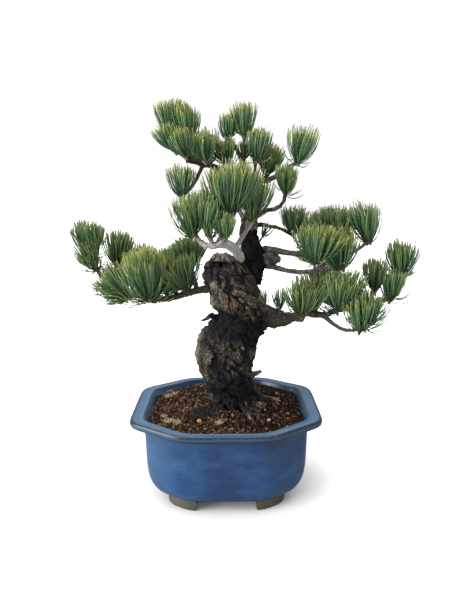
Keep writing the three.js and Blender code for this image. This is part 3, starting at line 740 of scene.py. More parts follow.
def granules(rng, places, sizes, divisions, roughness):
    """Angular grains at the places, each a ball knocked out of shape, as points, faces and grain index."""
    points, faces = blob_shape(divisions)
    count = len(places)
    knocks = rng.normal(size=(count, 9, 3))
    knocks /= np.linalg.norm(knocks, axis=2, keepdims=True)
    facets = rng.uniform(0.52, 0.92, size=(count, 9))
    reach = np.einsum("pk,cfk->cpf", points, knocks)
    limit = np.where(reach > 0.05, facets[:, None, :] / np.maximum(reach, 0.05), 9.0).min(axis=2)
    radius = np.minimum(limit, 1.0) * (1 + roughness * rng.normal(size=(count, len(points))))
    shape = points[None] * radius[..., None] * rng.uniform(0.72, 1.15, size=(count, 1, 3))
    shape = np.einsum("cij,cpj->cpi", random_turns(rng, count), shape)
    placed = shape * (sizes / 2)[:, None, None] + places[:, None]
    every = (faces[None] + (np.arange(count) * len(points))[:, None, None]).reshape(-1, 3)
    return placed.reshape(-1, 3), every, np.repeat(np.arange(count), len(points))


def grained_material(name, stops, over, share, spread, relief=0.0, **inputs):
    """A material of loose parts: each has its own tone, mottled and pitted by fine grit."""
    material, tree = new_material(name)
    grit = effect(tree, "clouds", **spread)
    tone = mix(tree, scaled(tree, grit, share), ramp(tree, attribute(tree, "tone"), stops), over)
    if relief:
        inputs["Normal"] = bump(tree, grit, 0.6, relief)
    return finish_material(material, Base_Color=tone, **inputs)


def soil_material(name, settings, stops):
    """Granular soil: each grain has its own tone."""
    spread = {"Scale": 900.0, **GRIT}
    return grained_material(
        name, stops, settings.dark_grain, 0.5, spread, 0.25 * MM, Roughness=0.9, Specular_IOR_Level=0.15
    )


def tube(points, radii, sides=6):
    """A round tube along a line, with a level frame carried along it, as rings."""
    points = np.asarray(points, float)
    radii = np.broadcast_to(radii, len(points))
    ways = np.gradient(points, axis=0)
    ways /= np.linalg.norm(ways, axis=1, keepdims=True)
    across = np.cross(ways[0], [0.3, 0.2, 1.0])
    turn = np.arange(sides) / sides * 2 * math.pi
    rings = []
    for point, way, radius in zip(points, ways, radii):
        across = across - way * np.dot(across, way)
        across /= np.linalg.norm(across)
        other = np.cross(way, across)
        rings.append(point + radius * (np.cos(turn)[:, None] * across + np.sin(turn)[:, None] * other))
    return np.array(rings)


def joined_mesh(name, parts):
    """One mesh from several (rings, tone) tubes, each closed at both ends."""
    work = bmesh.new()
    for rings, tone in parts:
        part = grid_mesh("part", rings, {"tone": np.full(len(rings), tone)})
        work.from_mesh(part)
        bpy.data.meshes.remove(part)
    bmesh.ops.recalc_face_normals(work, faces=work.faces)
    return mesh_of(work, name)


# Moss on the soil: millimetres from the pot's middle (x, y), patch width, number of strands, dryness.
MOSS = [
    (-66, 26, 9, 60, 1.0), (-60, 31, 6, 40, 0.9), (-60, -36, 10, 80, 1.0), (-50, -42, 7, 50, 0.95),
    (-66, -26, 6, 36, 1.0), (-16, -24, 20, 260, 0.0), (-30, -26, 22, 300, 0.03), (-8, -46, 7, 50, 0.95),
    (36, -10, 12, 90, 0.85), (56, 10, 7, 50, 0.8),
]
MOSS_TONES = [
    (0, (0.010, 0.012, 0.008)), (0.4, (0.05, 0.05, 0.028)),
    (0.75, (0.32, 0.24, 0.13)), (1, (0.60, 0.48, 0.29)),
]
# Single stones: x, y from the pot's middle, width, tone from dark to pale.
STONES = [
    (-27, -41, 6.5, 0.55), (41, -18, 3.6, 0.85), (44, -38, 4.2, 0.9), (-66, -8, 5.2, 0.25),
    (66, -22, 5.0, 0.3), (-50, 8, 5.5, 0.2), (58, 30, 4.8, 0.7), (-20, 46, 5.6, 0.3),
]
STONE_TONES = [
    (0, (0.04, 0.035, 0.03)), (0.3, (0.14, 0.11, 0.085)),
    (0.6, (0.50, 0.24, 0.07)), (1, (0.62, 0.56, 0.46)),
]
ROOT_TONES = [
    (0, (0.05, 0.035, 0.03)), (0.4, (0.115, 0.045, 0.026)),
    (0.8, (0.14, 0.12, 0.10)), (1, (0.42, 0.34, 0.26)),
]
# Fine surface roots: along each, x and y from the pot's middle and the lift off the soil, all in
# millimetres; then its radius and its tone.
FINE_ROOTS = [
    ([(20, 2, 17), (25, -10, 8), (30, -21, 2), (35, -34, 1), (38, -46, 0)], 2.3, 0.35),
    ([(14, -8, 16), (19, -18, 8), (23, -28, 2), (27, -40, 1), (30, -52, 0)], 1.9, 0.15),
    ([(13, 6, 2), (24, 4, 1), (35, 2, 1), (44, -4, 0)], 0.8, 1.0),
    ([(13, 9, 3), (22, 12, 1), (33, 10, 1), (40, 14, 0)], 0.7, 0.95),
    ([(22, 22, 8), (33, 20, 4), (42, 12, 2), (52, 14, 1)], 0.8, 1.0),
    ([(12, 2, 2), (22, -2, 1), (30, -8, 0)], 0.6, 0.9),
]


def ground(bed, x, y):
    """The soil's height at a place, or None beyond its edge."""
    hit, way, _, _ = bed.ray_cast(Vector((x, y, SOIL_HIGH.z + 5 * MM)), Vector((0, 0, -1)))
    return None if hit is None or way.z < 0.5 else hit.z


def scatter(rng, bed, stem, pitch, lift, keep):
    """Places on the soil about a pitch apart, clear of the trunk."""
    found = []
    xs = np.arange(SOIL_LOW.x, SOIL_HIGH.x, pitch)
    for row, y in enumerate(np.arange(SOIL_LOW.y, SOIL_HIGH.y, pitch * ROW_STEP)):
        for x in xs + (row % 2) * pitch / 2:
            px, py = x + rng.normal() * pitch * STAGGER, y + rng.normal() * pitch * STAGGER
            if rng.random() > keep:
                continue
            z = ground(bed, px, py)
            if z is None:
                continue
            place = Vector((px, py, z + lift * MM + rng.normal() * HEIGHT_SCATTER))
            if depth_inside(stem, place) < DEEPEST_IN_TRUNK:
                found.append(place[:])
    return np.array(found)


def packed_mesh():
    """The soil's body with a slightly rough top, kept just under the loose granules."""
    remesh = ("REMESH", {"mode": "VOXEL", "voxel_size": 1.9 * MM})
    mesh = evaluated_mesh(welded(NODES["soil_bed"].data), remesh)
    mesh.materials.clear()
    points, ways = points_of(mesh), normals_of(mesh)
    wave = np.array([noise.noise(Vector(p) * 260) + 0.5 * noise.noise(Vector(p) * 700) for p in points])
    move_points(mesh, points + ways * (np.abs(ways[:, 2:]) * (wave[:, None] * 0.5 - 0.9)) * MM)
    set_float(mesh, "tone", (0.04 + 0.06 * wave).clip(0, 1))
    return mesh


def granules_mesh(rng, bed, stem, size):
    """The loose granules on the soil, coarse ones with finer ones between."""
    coarse = scatter(rng, bed, stem, size * 0.92, 0.1, 0.97)
    fine = scatter(rng, bed, stem, size * 0.66, 0.9, 0.42)
    points, faces, grain = [], [], []
    for spots, low, high, divisions in ((coarse, 0.75, 1.3, 2), (fine, 0.38, 0.72, 1)):
        made = granules(rng, spots, size * rng.uniform(low, high, len(spots)), divisions, 0.05)
        faces.append(made[1] + sum(map(len, points)))
        points.append(made[0])
        grain.append(made[2])
    grain = np.concatenate([grain[0], grain[1] + len(coarse)])
    places = np.concatenate([coarse, fine])
    patch = np.array([noise.noise(Vector(p) * 38) for p in places])
    # Painted shade: the granules are darker towards the pot's right side, away from the light that falls from
    # the left.
    right = smooth_step(POT_MIDDLE.x - 10 * MM, POT_MIDDLE.x + 50 * MM, places[:, 0])
    tone = 0.44 + 0.26 * rng.normal(size=len(places)) + 0.28 * patch - 0.34 * right
    bright = rng.random(len(places)) < BRIGHT_SHARE
    tone = np.where(bright, rng.uniform(0.75, 1.0, len(places)), tone).clip(0, 1)
    mesh = mesh_from_arrays("soil_granules", np.concatenate(points), np.concatenate(faces))
    set_float(mesh, "tone", tone[grain])
    return mesh


def stones_mesh(rng, bed):
    """The single stones that lie on the soil."""
    spots = []
    for across, deep, width, tone in STONES:
        x, y = from_pot(across, deep)
        z = ground(bed, x, y)
        if z is not None:
            spots.append((x, y, z + 1.2 * MM, width * MM, tone))
    spots = np.array(spots)
    points, faces, index = granules(rng, spots[:, :3], spots[:, 3], 3, 0.012)
    mesh = mesh_from_arrays("soil_stones", points, faces)
    set_float(mesh, "tone", spots[index, 4])
    return mesh


def moss_mesh(rng, bed):
    """Short strands of moss and dry litter in their patches."""
    strands = []
    for x, y, width, count, dry in MOSS:
        for _ in range(count):
            turn, share = rng.uniform(0, 2 * math.pi), math.sqrt(rng.random())
            reach = width / 2 * share
            px, py = from_pot(x + reach * math.cos(turn), y + reach * math.sin(turn))
            z = ground(bed, px, py)
            if z is None:
                continue
            lean = rng.normal(size=2) * 0.55
            tall = rng.uniform(1.2, 3.0) * MM
            start = np.array([px, py, z + 0.8 * MM])
            way = np.array([lean[0], lean[1], 1.0])
            line = [start, start + way * tall * 0.5, start + way * tall * [1.3, 1.3, 0.9]]
            tone = min(1, max(0, dry + rng.normal() * 0.12))
            strands.append((tube(line, [0.42 * MM, 0.34 * MM, 0.12 * MM], 4), tone))
    return joined_mesh("moss", strands)


def fine_roots_mesh(rng, bed):
    """Thin roots that run over the soil and end in it."""
    roots = []
    for line, radius, tone in FINE_ROOTS:
        run = []
        for x, y, lift in smooth_line(line, 8):
            px, py = from_pot(x + rng.normal() * 0.25, y + rng.normal() * 0.25)
            z = ground(bed, px, py)
            if z is None:
                z = run[-1][2] if run else SOIL_LOW.z + 60 * MM
            run.append((px, py, z + (0.9 + lift + 0.6 * rng.random()) * MM))
        run = np.array(run)
        run[:, 2] = np.convolve(np.pad(run[:, 2], 2, mode="edge"), np.ones(5) / 5, mode="valid")
        run[-1, 2] -= 2.5 * MM
        radii = radius * MM * np.linspace(1, 0.45, len(run)) * rng.uniform(0.85, 1.15, len(run))
        roots.append((tube(run, radii, 8), tone))
    return joined_mesh("surface_roots", roots)


class BONSAI_OT_soil(bpy.types.Operator):
    """Build the soil: its body, granules, stones, moss and fine roots"""

    bl_idname = "bonsai.soil"
    bl_label = "Soil"

    def execute(self, context):
        settings = context.scene.bonsai_soil
        rng = np.random.default_rng(settings.seed)
        bed, stem = sealed_tree("soil_bed"), sealed_tree("trunk")
        tones = [
            (0, settings.dark_grain), (0.45, settings.brown_grain),
            (0.85, settings.red_grain), (1, (0.30, 0.20, 0.13)),
        ]
        packed = soil_material("packed_soil", settings, tones)
        add_piece("soil_body", packed_mesh(), [packed], ["soil_bed"])
        loose = soil_material("granules", settings, tones)
        grains = granules_mesh(rng, bed, stem, settings.grain_size)
        add_piece("soil_granules", grains, [loose], smooth=False)
        stone = soil_material("stones", settings, STONE_TONES)
        add_piece("soil_stones", stones_mesh(rng, bed), [stone])
        moss = grained_material(
            "moss", MOSS_TONES, (0.03, 0.022, 0.012), 0.4, {"Scale": 700.0}, Roughness=0.95
        )
        add_piece("moss", moss_mesh(rng, bed), [moss])
        over, spread = (0.03, 0.02, 0.015), {"Scale": 500.0, **GRIT}
        bark = grained_material(
            "root_bark", ROOT_TONES, over, 0.55, spread, 0.3 * MM, Roughness=0.85, Specular_IOR_Level=0.1
        )
        add_piece("surface_roots", fine_roots_mesh(rng, bed), [bark])
        return {"FINISHED"}


# ---------------------------------------------------------------- Trunk and branches
# Places on the trunk whose bark differs, by kind: x, y from the pot's middle and z, and reach in x, y and z.
# The dark patches are painted shade under the upper trunk's overhang and on the leader, over damp, darker
# bark;
# the pale ones on the lower trunk's left edge and upper plates are weathered bark with painted light from the
# left.
TRUNK_PATCHES = {
    "rust": [((25, -34, 94), (8, 14, 9)), ((5, -38, 218), (7, 14, 9)), ((13, -38, 230), (6, 12, 5)),
             ((-19, -16, 128), (7, 12, 12)), ((22, -40, 238), (5, 10, 6))],
    "tan": [((26, -38, 200), (12, 14, 6)), ((6, -30, 146), (5, 8, 5))],
    "pale": [((-34, -12, 160), (5, 18, 22)), ((-29, -12, 178), (4, 16, 9)), ((-4, -24, 260), (16, 16, 5)),
             ((-18, -30, 214), (7, 14, 7)), ((26, -8, 288), (10, 10, 6)), ((-12, -36, 232), (10, 12, 5))],
    "dark": [((9, -26, 184), (44, 30, 13)), ((-2, -24, 198), (22, 20, 9)), ((30, -20, 176), (22, 26, 16)),
             ((2, -24, 112), (40, 30, 24)), ((8, -26, 128), (22, 20, 10)), ((28, -4, 256), (15, 18, 18)),
             ((30, -2, 278), (10, 12, 8)), ((-5, -26, 251), (15, 14, 3)), ((38, 0, 236), (14, 24, 18))],
}
GRAIN_WAY = Vector((0.55, 0.1, -0.83)).normalized()  # the plates are longest along this
LAYERS = 3.2  # flaking steps over a plate's height
BARK_SEED = 1  # places the bark plates
# The bark's form: rounds of smoothing, plates to a metre, how far they stand out, how short they are
# along the grain, and the thickness of wood from which they stand out in full.
TRUNK_BARK = {"rounds": 4, "scale": 74.0, "depth": 2.9 * MM, "stretch": 0.5, "full": 22 * MM}
BRANCH_BARK = {"rounds": 6, "scale": 210.0, "depth": 1.2 * MM, "stretch": 0.7, "full": 13 * MM}
BRANCH_TONES = {"branch_left_front": "pale", "branch_right_mid": "grey"}  # the others have young bark
JOIN_WITHIN, JOIN_BY = 1.6 * MM, 2.4 * MM  # a branch's points this near the trunk are pushed in by so much


def plates(point, warp):
    """How far a place is inside a bark plate (0 in the crack), the plate's own height and its tilt."""
    at = point + noise.noise_vector(point * 0.8) * warp + noise.noise_vector(point * 2.9) * warp * 0.3
    distances, centres = noise.voronoi(at)
    own = noise.cell_vector(centres[0] * 7.3)
    tilt = max(-1.0, min(1.0, (at - centres[0]).dot(own - Vector((0.5, 0.5, 0.5))) * 2.4))
    return distances[1] - distances[0], own.x, tilt


def thickness_at(wood, points, ways):
    """How thick the wood is under each point, in metres."""
    found = np.full(len(points), 0.06)
    for index, (point, way) in enumerate(zip(points, ways)):
        inward = Vector(-way)
        hit = wood.ray_cast(Vector(point) + inward * 0.8 * MM, inward)
        if hit[0] is not None:
            found[index] = hit[3]
    return found


def bark_mesh(name, node, voxel, rounds, scale, depth, stretch, full):
    """A CAD node's wood, rounded and broken into overlapping bark plates."""
    mesh = evaluated_mesh(
        welded(NODES[node].data),
        ("REMESH", {"mode": "VOXEL", "voxel_size": voxel}),
        ("SMOOTH", {"factor": 0.5, "iterations": rounds}),
    )
    mesh.name = name
    mesh.materials.clear()
    points, ways = points_of(mesh), normals_of(mesh)
    thickness = thickness_at(sealed_tree(node), points, ways)
    thin = smooth_step(2 * MM, full, thickness)
    noise.seed_set(BARK_SEED)
    data = np.empty((len(points), 8))
    for index, point in enumerate(points):
        at = Vector(point)
        at = (at - GRAIN_WAY * at.dot(GRAIN_WAY) * (1 - stretch)) * scale
        wide, small = plates(at, 0.7), plates(at * 2.2, 0.6)
        gap = 0.05 + 0.16 * max(0.0, noise.noise(at * 0.7) + 0.4)
        data[index] = (*wide, *small, gap, noise.turbulence(at * 3.4, 3, False))
    crack, own, tilt, small_crack, small_own, small_tilt, gap, grit = data.T
    plate = smooth_step(0.0, 1.0, crack / gap)
    flake = smooth_step(0.0, 0.14, small_crack)
    height = plate * (0.7 + 0.5 * own + 0.8 * tilt) - 1.0
    height += flake * (0.12 + 0.34 * small_own + 0.32 * small_tilt) + 0.45 * (grit - 0.5)
    steps = (height + 1.2) * LAYERS
    layer = steps - np.floor(steps)
    height += 0.7 * ((np.floor(steps) + smooth_step(0.55, 0.95, layer)) / LAYERS - steps / LAYERS)
    amount = depth * (0.16 + 0.84 * thin)
    lump = np.array([noise.noise(Vector(p) * 42) for p in points])
    points += ways * (height * amount + lump * depth * 0.9 * thin)[:, None]
    move_points(mesh, points)
    # Pale lips where the flaking steps end: weathered edges with a painted highlight on them.
    lip = smooth_step(0.62, 0.88, layer) * (1 - smooth_step(0.94, 1.0, layer))
    set_float(mesh, "relief", ((height + 1.0) / 1.9).clip(0, 1))
    set_float(mesh, "rim", plate * lip * smooth_step(0.2, 0.9, own + tilt))
    set_float(mesh, "plate_tone", (0.6 * own + 0.4 * small_own).clip(0, 1))
    set_float(mesh, "aged", smooth_step(8.5 * MM, 14 * MM, thickness))
    set_float(mesh, "thick", smooth_step(3.2 * MM, 8.0 * MM, thickness))
    return mesh, points


def bark_material(name, crack_scale, dark, mid, pale, twig, aged, tints=()):
    """Flaking bark: black crevices darkened partly by painted shade, plates of mixed tones, pale broken edges
    with a painted highlight, and tinted places, on the trunk partly painted light and shade.
    """
    material, tree = new_material(name)
    splits = effect(tree, "cracks", Scale=crack_scale, Width=0.1, Stretch=0.55)
    grain = effect(tree, "clouds", Scale=520.0, Stretch=0.5, Low=0.3, High=0.7)
    broad = effect(tree, "clouds", Scale=60.0, Low=0.36, High=0.64)
    tone = ramp(tree, attribute(tree, "plate_tone"), [(0.1, shade(mid, 0.5)), (0.5, mid), (1.0, pale)])
    tone = mix(tree, scaled(tree, broad, 0.5), tone, shade(mid, 0.6))
    tone = mix(tree, scaled(tree, rest_of(tree, "thick"), 0.8), tone, twig)
    tone = mix(tree, scaled(tree, attribute(tree, "aged"), 0.95), tone, aged)
    # Tinted places; on the trunk the dark patches are painted shade over damp bark, the pale ones partly
    # painted light.
    for kind, tint in tints:
        tone = mix(tree, ragged(tree, kind, broad, 1.0, 0.7), tone, tint)
    tone = mix(tree, scaled(tree, grain, 0.45), tone, dark)
    # Pale lips of the plates: weathered edges with a painted highlight.
    edge = scaled(tree, attribute(tree, "rim"), 0.8)
    # No pale edges over the painted shade of the dark patches.
    if tints:
        edge = calculate(tree, "MULTIPLY", edge, rest_of(tree, "dark"))
    tone = mix(tree, edge, tone, pale)
    # The relief's low places go to the dark tone: painted shade in the crevices, over the bark's own darker
    # colour there.
    tone = mix(tree, map_range(tree, attribute(tree, "relief"), 0.08, 0.42), dark, tone)
    tone = mix(tree, scaled(tree, splits, 0.8), tone, dark)
    normal = bump(tree, calculate(tree, "SUBTRACT", grain, splits), 0.8, 0.6 * MM)
    return finish_material(material, Base_Color=tone, Roughness=0.85, Specular_IOR_Level=0.12, Normal=normal)


class BONSAI_OT_trunk(bpy.types.Operator):
    """Build the old trunk with its cracked bark and surface roots"""

    bl_idname = "bonsai.trunk"
    bl_label = "Trunk"

    def execute(self, context):
        settings = context.scene.bonsai_wood
        mesh, points = bark_mesh("old_trunk", "trunk", settings.trunk_voxel, **TRUNK_BARK)
        dark, mid, pale = settings.bark_dark, settings.bark_mid, settings.bark_pale
        # The dark tint paints shade along with the damp bark; the pale tint is partly painted light.
        tints = {"rust": settings.bark_rust, "tan": settings.bark_tan, "pale": pale, "dark": dark}
        for kind, patches in TRUNK_PATCHES.items():
            mask = np.zeros(len(points))
            for (x, y, z), reach in patches:
                centre = np.array([*from_pot(x, y), z * MM])
                away = np.linalg.norm((points - centre) / (np.array(reach) * MM), axis=1)
                mask = np.maximum(mask, 1 - smooth_step(0.6, 1.15, away))
            set_float(mesh, kind, mask)
        bark = bark_material("old_bark", 170.0, dark, mid, pale, settings.young, mid, tints.items())
        add_piece("old_trunk", mesh, [bark], ["trunk"])
        return {"FINISHED"}


class BONSAI_OT_branches(bpy.types.Operator):
    """Build the seven branches with their young bark, each run into the trunk"""

    bl_idname = "bonsai.branches"
    bl_label = "Branches"

    def execute(self, context):
        settings = context.scene.bonsai_wood
        stem = sealed_tree("trunk")
        young, pale, aged = settings.young, settings.pale_young, settings.bark_mid
        grey = between(young, pale, 0.35)
        # Name, share of the tone in the cracks and in the plates, tone, tone where thin and where thick.
        barks = {
            kind: bark_material(
                kind + "_bark", 420.0, shade(tone, deep), shade(tone, plate), tone, thin, thick
            )
            for kind, deep, plate, tone, thin, thick in (
                ("young", 0.5, 0.6, young, settings.shoot, aged),
                # The pale front branch's tone is partly painted light, to make up for the canopy's shade.
                ("pale", 0.6, 0.95, pale, settings.shoot, pale),
                ("grey", 0.2, 0.95, grey, shade(young, 0.8), aged),
            )
        }
        for node in BRANCH_NODES:
            name = node.replace("branch", "limb")
            mesh, points = bark_mesh(name, node, settings.branch_voxel, **BRANCH_BARK)
            for index, point in enumerate(points):
                near, _, _, distance = stem.find_nearest(Vector(point))
                if distance < JOIN_WITHIN:
                    points[index] += (np.array(near) - point) / max(distance, 1e-6) * JOIN_BY
            move_points(mesh, points)
            add_piece(name, mesh, [barks[BRANCH_TONES.get(node, "young")]], [node])
        return {"FINISHED"}


# ---------------------------------------------------------------- Needles
NEEDLE_SIDES = 3
NEEDLE_LEVELS = 5
NEEDLE_TAPER = np.array([0.7, 1.0, 1.0, 1.0, 0.6])
GOLDEN_TURN = 2.39996  # even spacing round an axis, in radians
TWIG_STRIP = 0.95  # the needle map's last strip belongs to the twigs
SHOOTS = ((24, 30, 36, 42, 48, 54), (2, 3, 4, 5, 6, 7))  # tuft widths in millimetres, and shoots for each
LEAST_NEEDLES, MOST_NEEDLES = 46, 80  # on one shoot
HANGING_MANY, HANGING_FEW = 0.20, 0.05  # shares of a shoot's needles that may hang loose
STRIP_WIDTH = 0.02  # how much of the needle map one needle or twig takes
TWIG_RADII = np.array([1.3, 1.2, 1.1, 0.95, 1.1, 0.25]) * MM
# Tufts with many hanging needles, the needles' finishes, and the tufts whose tips get the stronger painted
# sunlight.
LOOSE = ("left_tip_low", "left_droop", "left_fan", "left_third", "low_front", "low_end")
# Painted sunlight: how strongly the tips are painted in their paler, sunlit tone, in each finish.
NEEDLE_SUN = {"needles": 0.6, "needles_sunlit": 1.0}  # how far the tips have turned to their paler tone
SUNLIT = ("apex", "crown", "right_second", "right_far", "mid_front", "mid_second", "front_top", "left_fan")


def unit(vectors):
    """Vectors scaled to length one."""
    return vectors / np.maximum(np.linalg.norm(vectors, axis=-1, keepdims=True), 1e-9)


def tuft_space(name, wood):
    """Where a tuft starts, its axis, length and width, from the space its CAD node fills."""
    points = points_of(NODES[name].data)
    gaps = np.array([wood.find_nearest(Vector(point))[3] for point in points])
    raised = points[:, 2] - points[:, 2].min()
    first = points[(gaps + 0.15 * raised).argmin()]
    base = points[np.linalg.norm(points - first, axis=1) < 4 * MM].mean(axis=0)
    axis = unit(points.mean(axis=0) - base)
    along = (points - base) @ axis
    side = unit(np.cross(axis, [0.2, 0.9, 0.1]))
    other = np.cross(axis, side)
    width = np.mean([np.ptp(points @ way) for way in (side, other)])
    return base, axis, side, other, along.max(), width


def needle_rings(rng, base, axis, tall, reach, count, thickness, loose):
    """Needles of one shoot, as rings (needles, levels, sides, 3).

    Together they make a vase: their tips spread evenly over a slightly domed round top, the outer
    ones leave the shoot lowest and bend up most, and a few stray ones hang out below."""
    share = np.sqrt((np.arange(count) + rng.random(count)) / count)
    side = unit(np.cross(axis, [0.31, 0.17, 0.93]))
    other = np.cross(axis, side)
    turn = np.arange(count) * GOLDEN_TURN + rng.normal(size=count) * 0.35
    out = np.cos(turn)[:, None] * side + np.sin(turn)[:, None] * other
    stray = (rng.random(count) < loose) & (share > 0.5)
    top = tall * (1.0 - 0.16 * share**2) * rng.uniform(0.82, 1.04, count)
    top = np.where(stray, tall * rng.uniform(0.08, 0.50, count), top)
    wide = reach * share * rng.uniform(0.85, 1.12, count) * np.where(stray, rng.uniform(1.2, 1.8, count), 1.0)
    low = tall * (0.02 + 0.30 * (1 - share) ** 0.8)
    start = base + axis * low[:, None]
    end = base + axis * top[:, None] + out * wide[:, None]
    chord = end - start
    long = np.linalg.norm(chord, axis=1)
    lean = np.arctan2(wide, top - low)
    first = lean + (0.42 * share + 0.05) * rng.uniform(0.6, 1.3, count) + np.where(stray, 0.42, 0.0)
    way = np.cos(first)[:, None] * axis + np.sin(first)[:, None] * out + rng.normal(size=(count, 3)) * 0.05
    middle = start + way * (long * 0.52)[:, None]
    steps = np.linspace(0, 1, NEEDLE_LEVELS)[None, :, None]
    left = 1 - steps
    line = start[:, None] * left**2 + 2 * steps * left * middle[:, None] + steps**2 * end[:, None]
    tangent = unit(left * (middle - start)[:, None] + steps * (end - middle)[:, None])
    flat = unit(np.cross(tangent, out[:, None]))
    edge = np.cross(tangent, flat)
    taper = NEEDLE_TAPER * thickness / 2
    angle = np.arange(NEEDLE_SIDES) / NEEDLE_SIDES * 2 * math.pi
    ring = np.cos(angle)[:, None] * flat[:, :, None] + 0.8 * np.sin(angle)[:, None] * edge[:, :, None]
    return line[:, :, None] + ring * taper[None, :, None, None]


def needle_faces(count, first):
    """Face corners and their map places for a number of needles."""
    quads = band_faces(NEEDLE_LEVELS, NEEDLE_SIDES)
    every = quads[None] + (np.arange(count) * NEEDLE_LEVELS * NEEDLE_SIDES)[:, None, None] + first
    level = np.repeat(np.arange(NEEDLE_LEVELS - 1), NEEDLE_SIDES)
    low, high = level / (NEEDLE_LEVELS - 1), (level + 1) / (NEEDLE_LEVELS - 1)
    up = np.stack([low, low, high, high], axis=-1)
    across = np.broadcast_to([0.0, 1.0, 1.0, 0.0], up.shape)
    return every.reshape(-1, 4), across, up


def on_needle(tree):
    """A needle's own tone and how far along it a place is, from the needle map."""
    place = add_node(tree, "UVMap")
    place.uv_map = NEEDLE_MAP
    split = add_node(tree, "SeparateXYZ", Vector=place.outputs["UV"])
    return split.outputs["X"], split.outputs["Y"]


def needle_material(name, settings, sun):
    """Pine needles: dark at the base, green, and paler towards a sunlit tip; the dark base is painted shade,
    the darker needles partly so, and the pale tip is painted sunlight.
    """
    material, tree = new_material(name)
    own, along = on_needle(tree)
    base, middle = settings.base, settings.middle
    # Painted sunlight: the tip tone, paler as the finish's painted sun grows.
    tip = between(middle, settings.tip, sun)
    # Part of the needles, picked by their place across the needle map, take a darker, bluer tone: partly
    # painted shade deep in the tuft. The dark base of each needle is painted shade.
    deep = tuple(c * share for c, share in zip(middle, (0.20, 0.30, 0.38)))
    young = ramp(tree, along, [(0.0, base), (0.3, middle), (0.82, middle), (0.94, tip), (1.0, tip)])
    old = ramp(tree, along, [(0.0, base), (0.6, deep), (1.0, shade(middle, 0.75))])
    return finish_material(material, Base_Color=mix(tree, own, old, young), Roughness=0.42)


def twig_material(young, twig):
    """Twig ends: grey where they leave the wood, brown, then pale buds."""
    material, tree = new_material("twig_bark")
    tone = ramp(tree, on_needle(tree)[1], [(0.0, young), (0.6, twig), (1.0, (0.45, 0.33, 0.22))])
    return finish_material(material, Base_Color=tone, Roughness=0.8)


# Short sprays straight off the wood: the tuft each belongs to, then where it leaves the wood (from
# the pot's middle) and which way it grows, its length, its reach, and its number of needles.
SPRAYS = [
    ("tuft_low_inner", (58, -8, 201), (-0.1, -0.3, 1.0), 30, 9, 24),
    ("tuft_low_inner", (48, -12, 204), (-0.5, -0.3, 1.0), 24, 8, 18),
    ("tuft_mid_front", (75, -18, 247), (-0.7, -0.5, 0.5), 25, 9, 22),
    ("tuft_mid_second", (93, -20, 247), (-0.6, -0.6, 0.4), 24, 9, 20),
    ("tuft_crown_left", (18, 4, 350), (0.1, -0.5, 1.0), 25, 9, 34),
    ("tuft_apex_centre", (10, 0, 352), (-0.3, -0.5, 0.9), 24, 9, 30),
    ("tuft_right_second", (38, 8, 338), (0.15, -0.5, 1.0), 27, 9, 34),
    ("tuft_right_small", (38, 0, 274), (0.5, -0.4, 0.9), 22, 8, 20),
    ("tuft_left_tip_low", (-131, 0, 240), (-0.6, -0.3, 0.8), 32, 11, 36),
    ("tuft_left_droop", (-111, -10, 214), (-0.9, -0.3, 0.35), 31, 10, 26),
    ("tuft_left_fan", (-98, -12, 213), (-0.8, -0.6, 0.25), 30, 10, 26),
    ("tuft_left_inner", (-56, -10, 216), (0.2, -0.7, 0.8), 26, 9, 26),
    ("tuft_front_mid", (-12, -36, 276), (-0.2, -0.6, 1.0), 24, 8, 26),
]


def shoots_of(rng, node, wood, settings):
    """A tuft's shoots: where each leaves the wood, where its needles start, way, length, reach and count."""
    base, axis, side, other, tall, wide = tuft_space(node, wood)
    shoots = int(np.interp(wide / MM, *SHOOTS) + 0.5)
    wide *= 1.18
    found = []
    for shoot in range(shoots):
        ringed = math.sqrt((shoot + 0.5) / shoots)
        angle = shoot * GOLDEN_TURN + rng.uniform(-0.3, 0.3)
        out = math.cos(angle) * side + math.sin(angle) * other
        spread = ringed * wide * 0.31
        high = tall * rng.uniform(0.86, 1.05)
        start = base + out * spread * 0.35 - axis * rng.uniform(2.0, 9.0) * MM
        way = unit(axis * high + out * spread * 0.75 + rng.normal(size=3) * 1.5 * MM)
        high = high - np.dot(start - base, axis)
        reach = wide * rng.uniform(0.26, 0.33)
        usual = np.clip(settings.density * (reach / MM) ** 2, LEAST_NEEDLES, MOST_NEEDLES)
        count = int(usual * rng.uniform(0.9, 1.1))
        found.append((base - axis * 3 * MM, start, way, high, reach, count))
    for owner, (x, y, z), way, long, reach, count in SPRAYS:
        if owner == node:
            level = Vector((*from_pot(x, y), z * MM))
            hit = wood.ray_cast(level - Vector((0, 60 * MM, 0)), Vector((0, 1, 0)), 120 * MM)[0]
            root = np.array(hit or wood.find_nearest(level)[0])
            way = unit(np.array(way))
            start = root + way * 2.5 * MM
            found.append((root - way * MM, start, way, (long - 2.5) * MM, reach * MM, count))
    return found


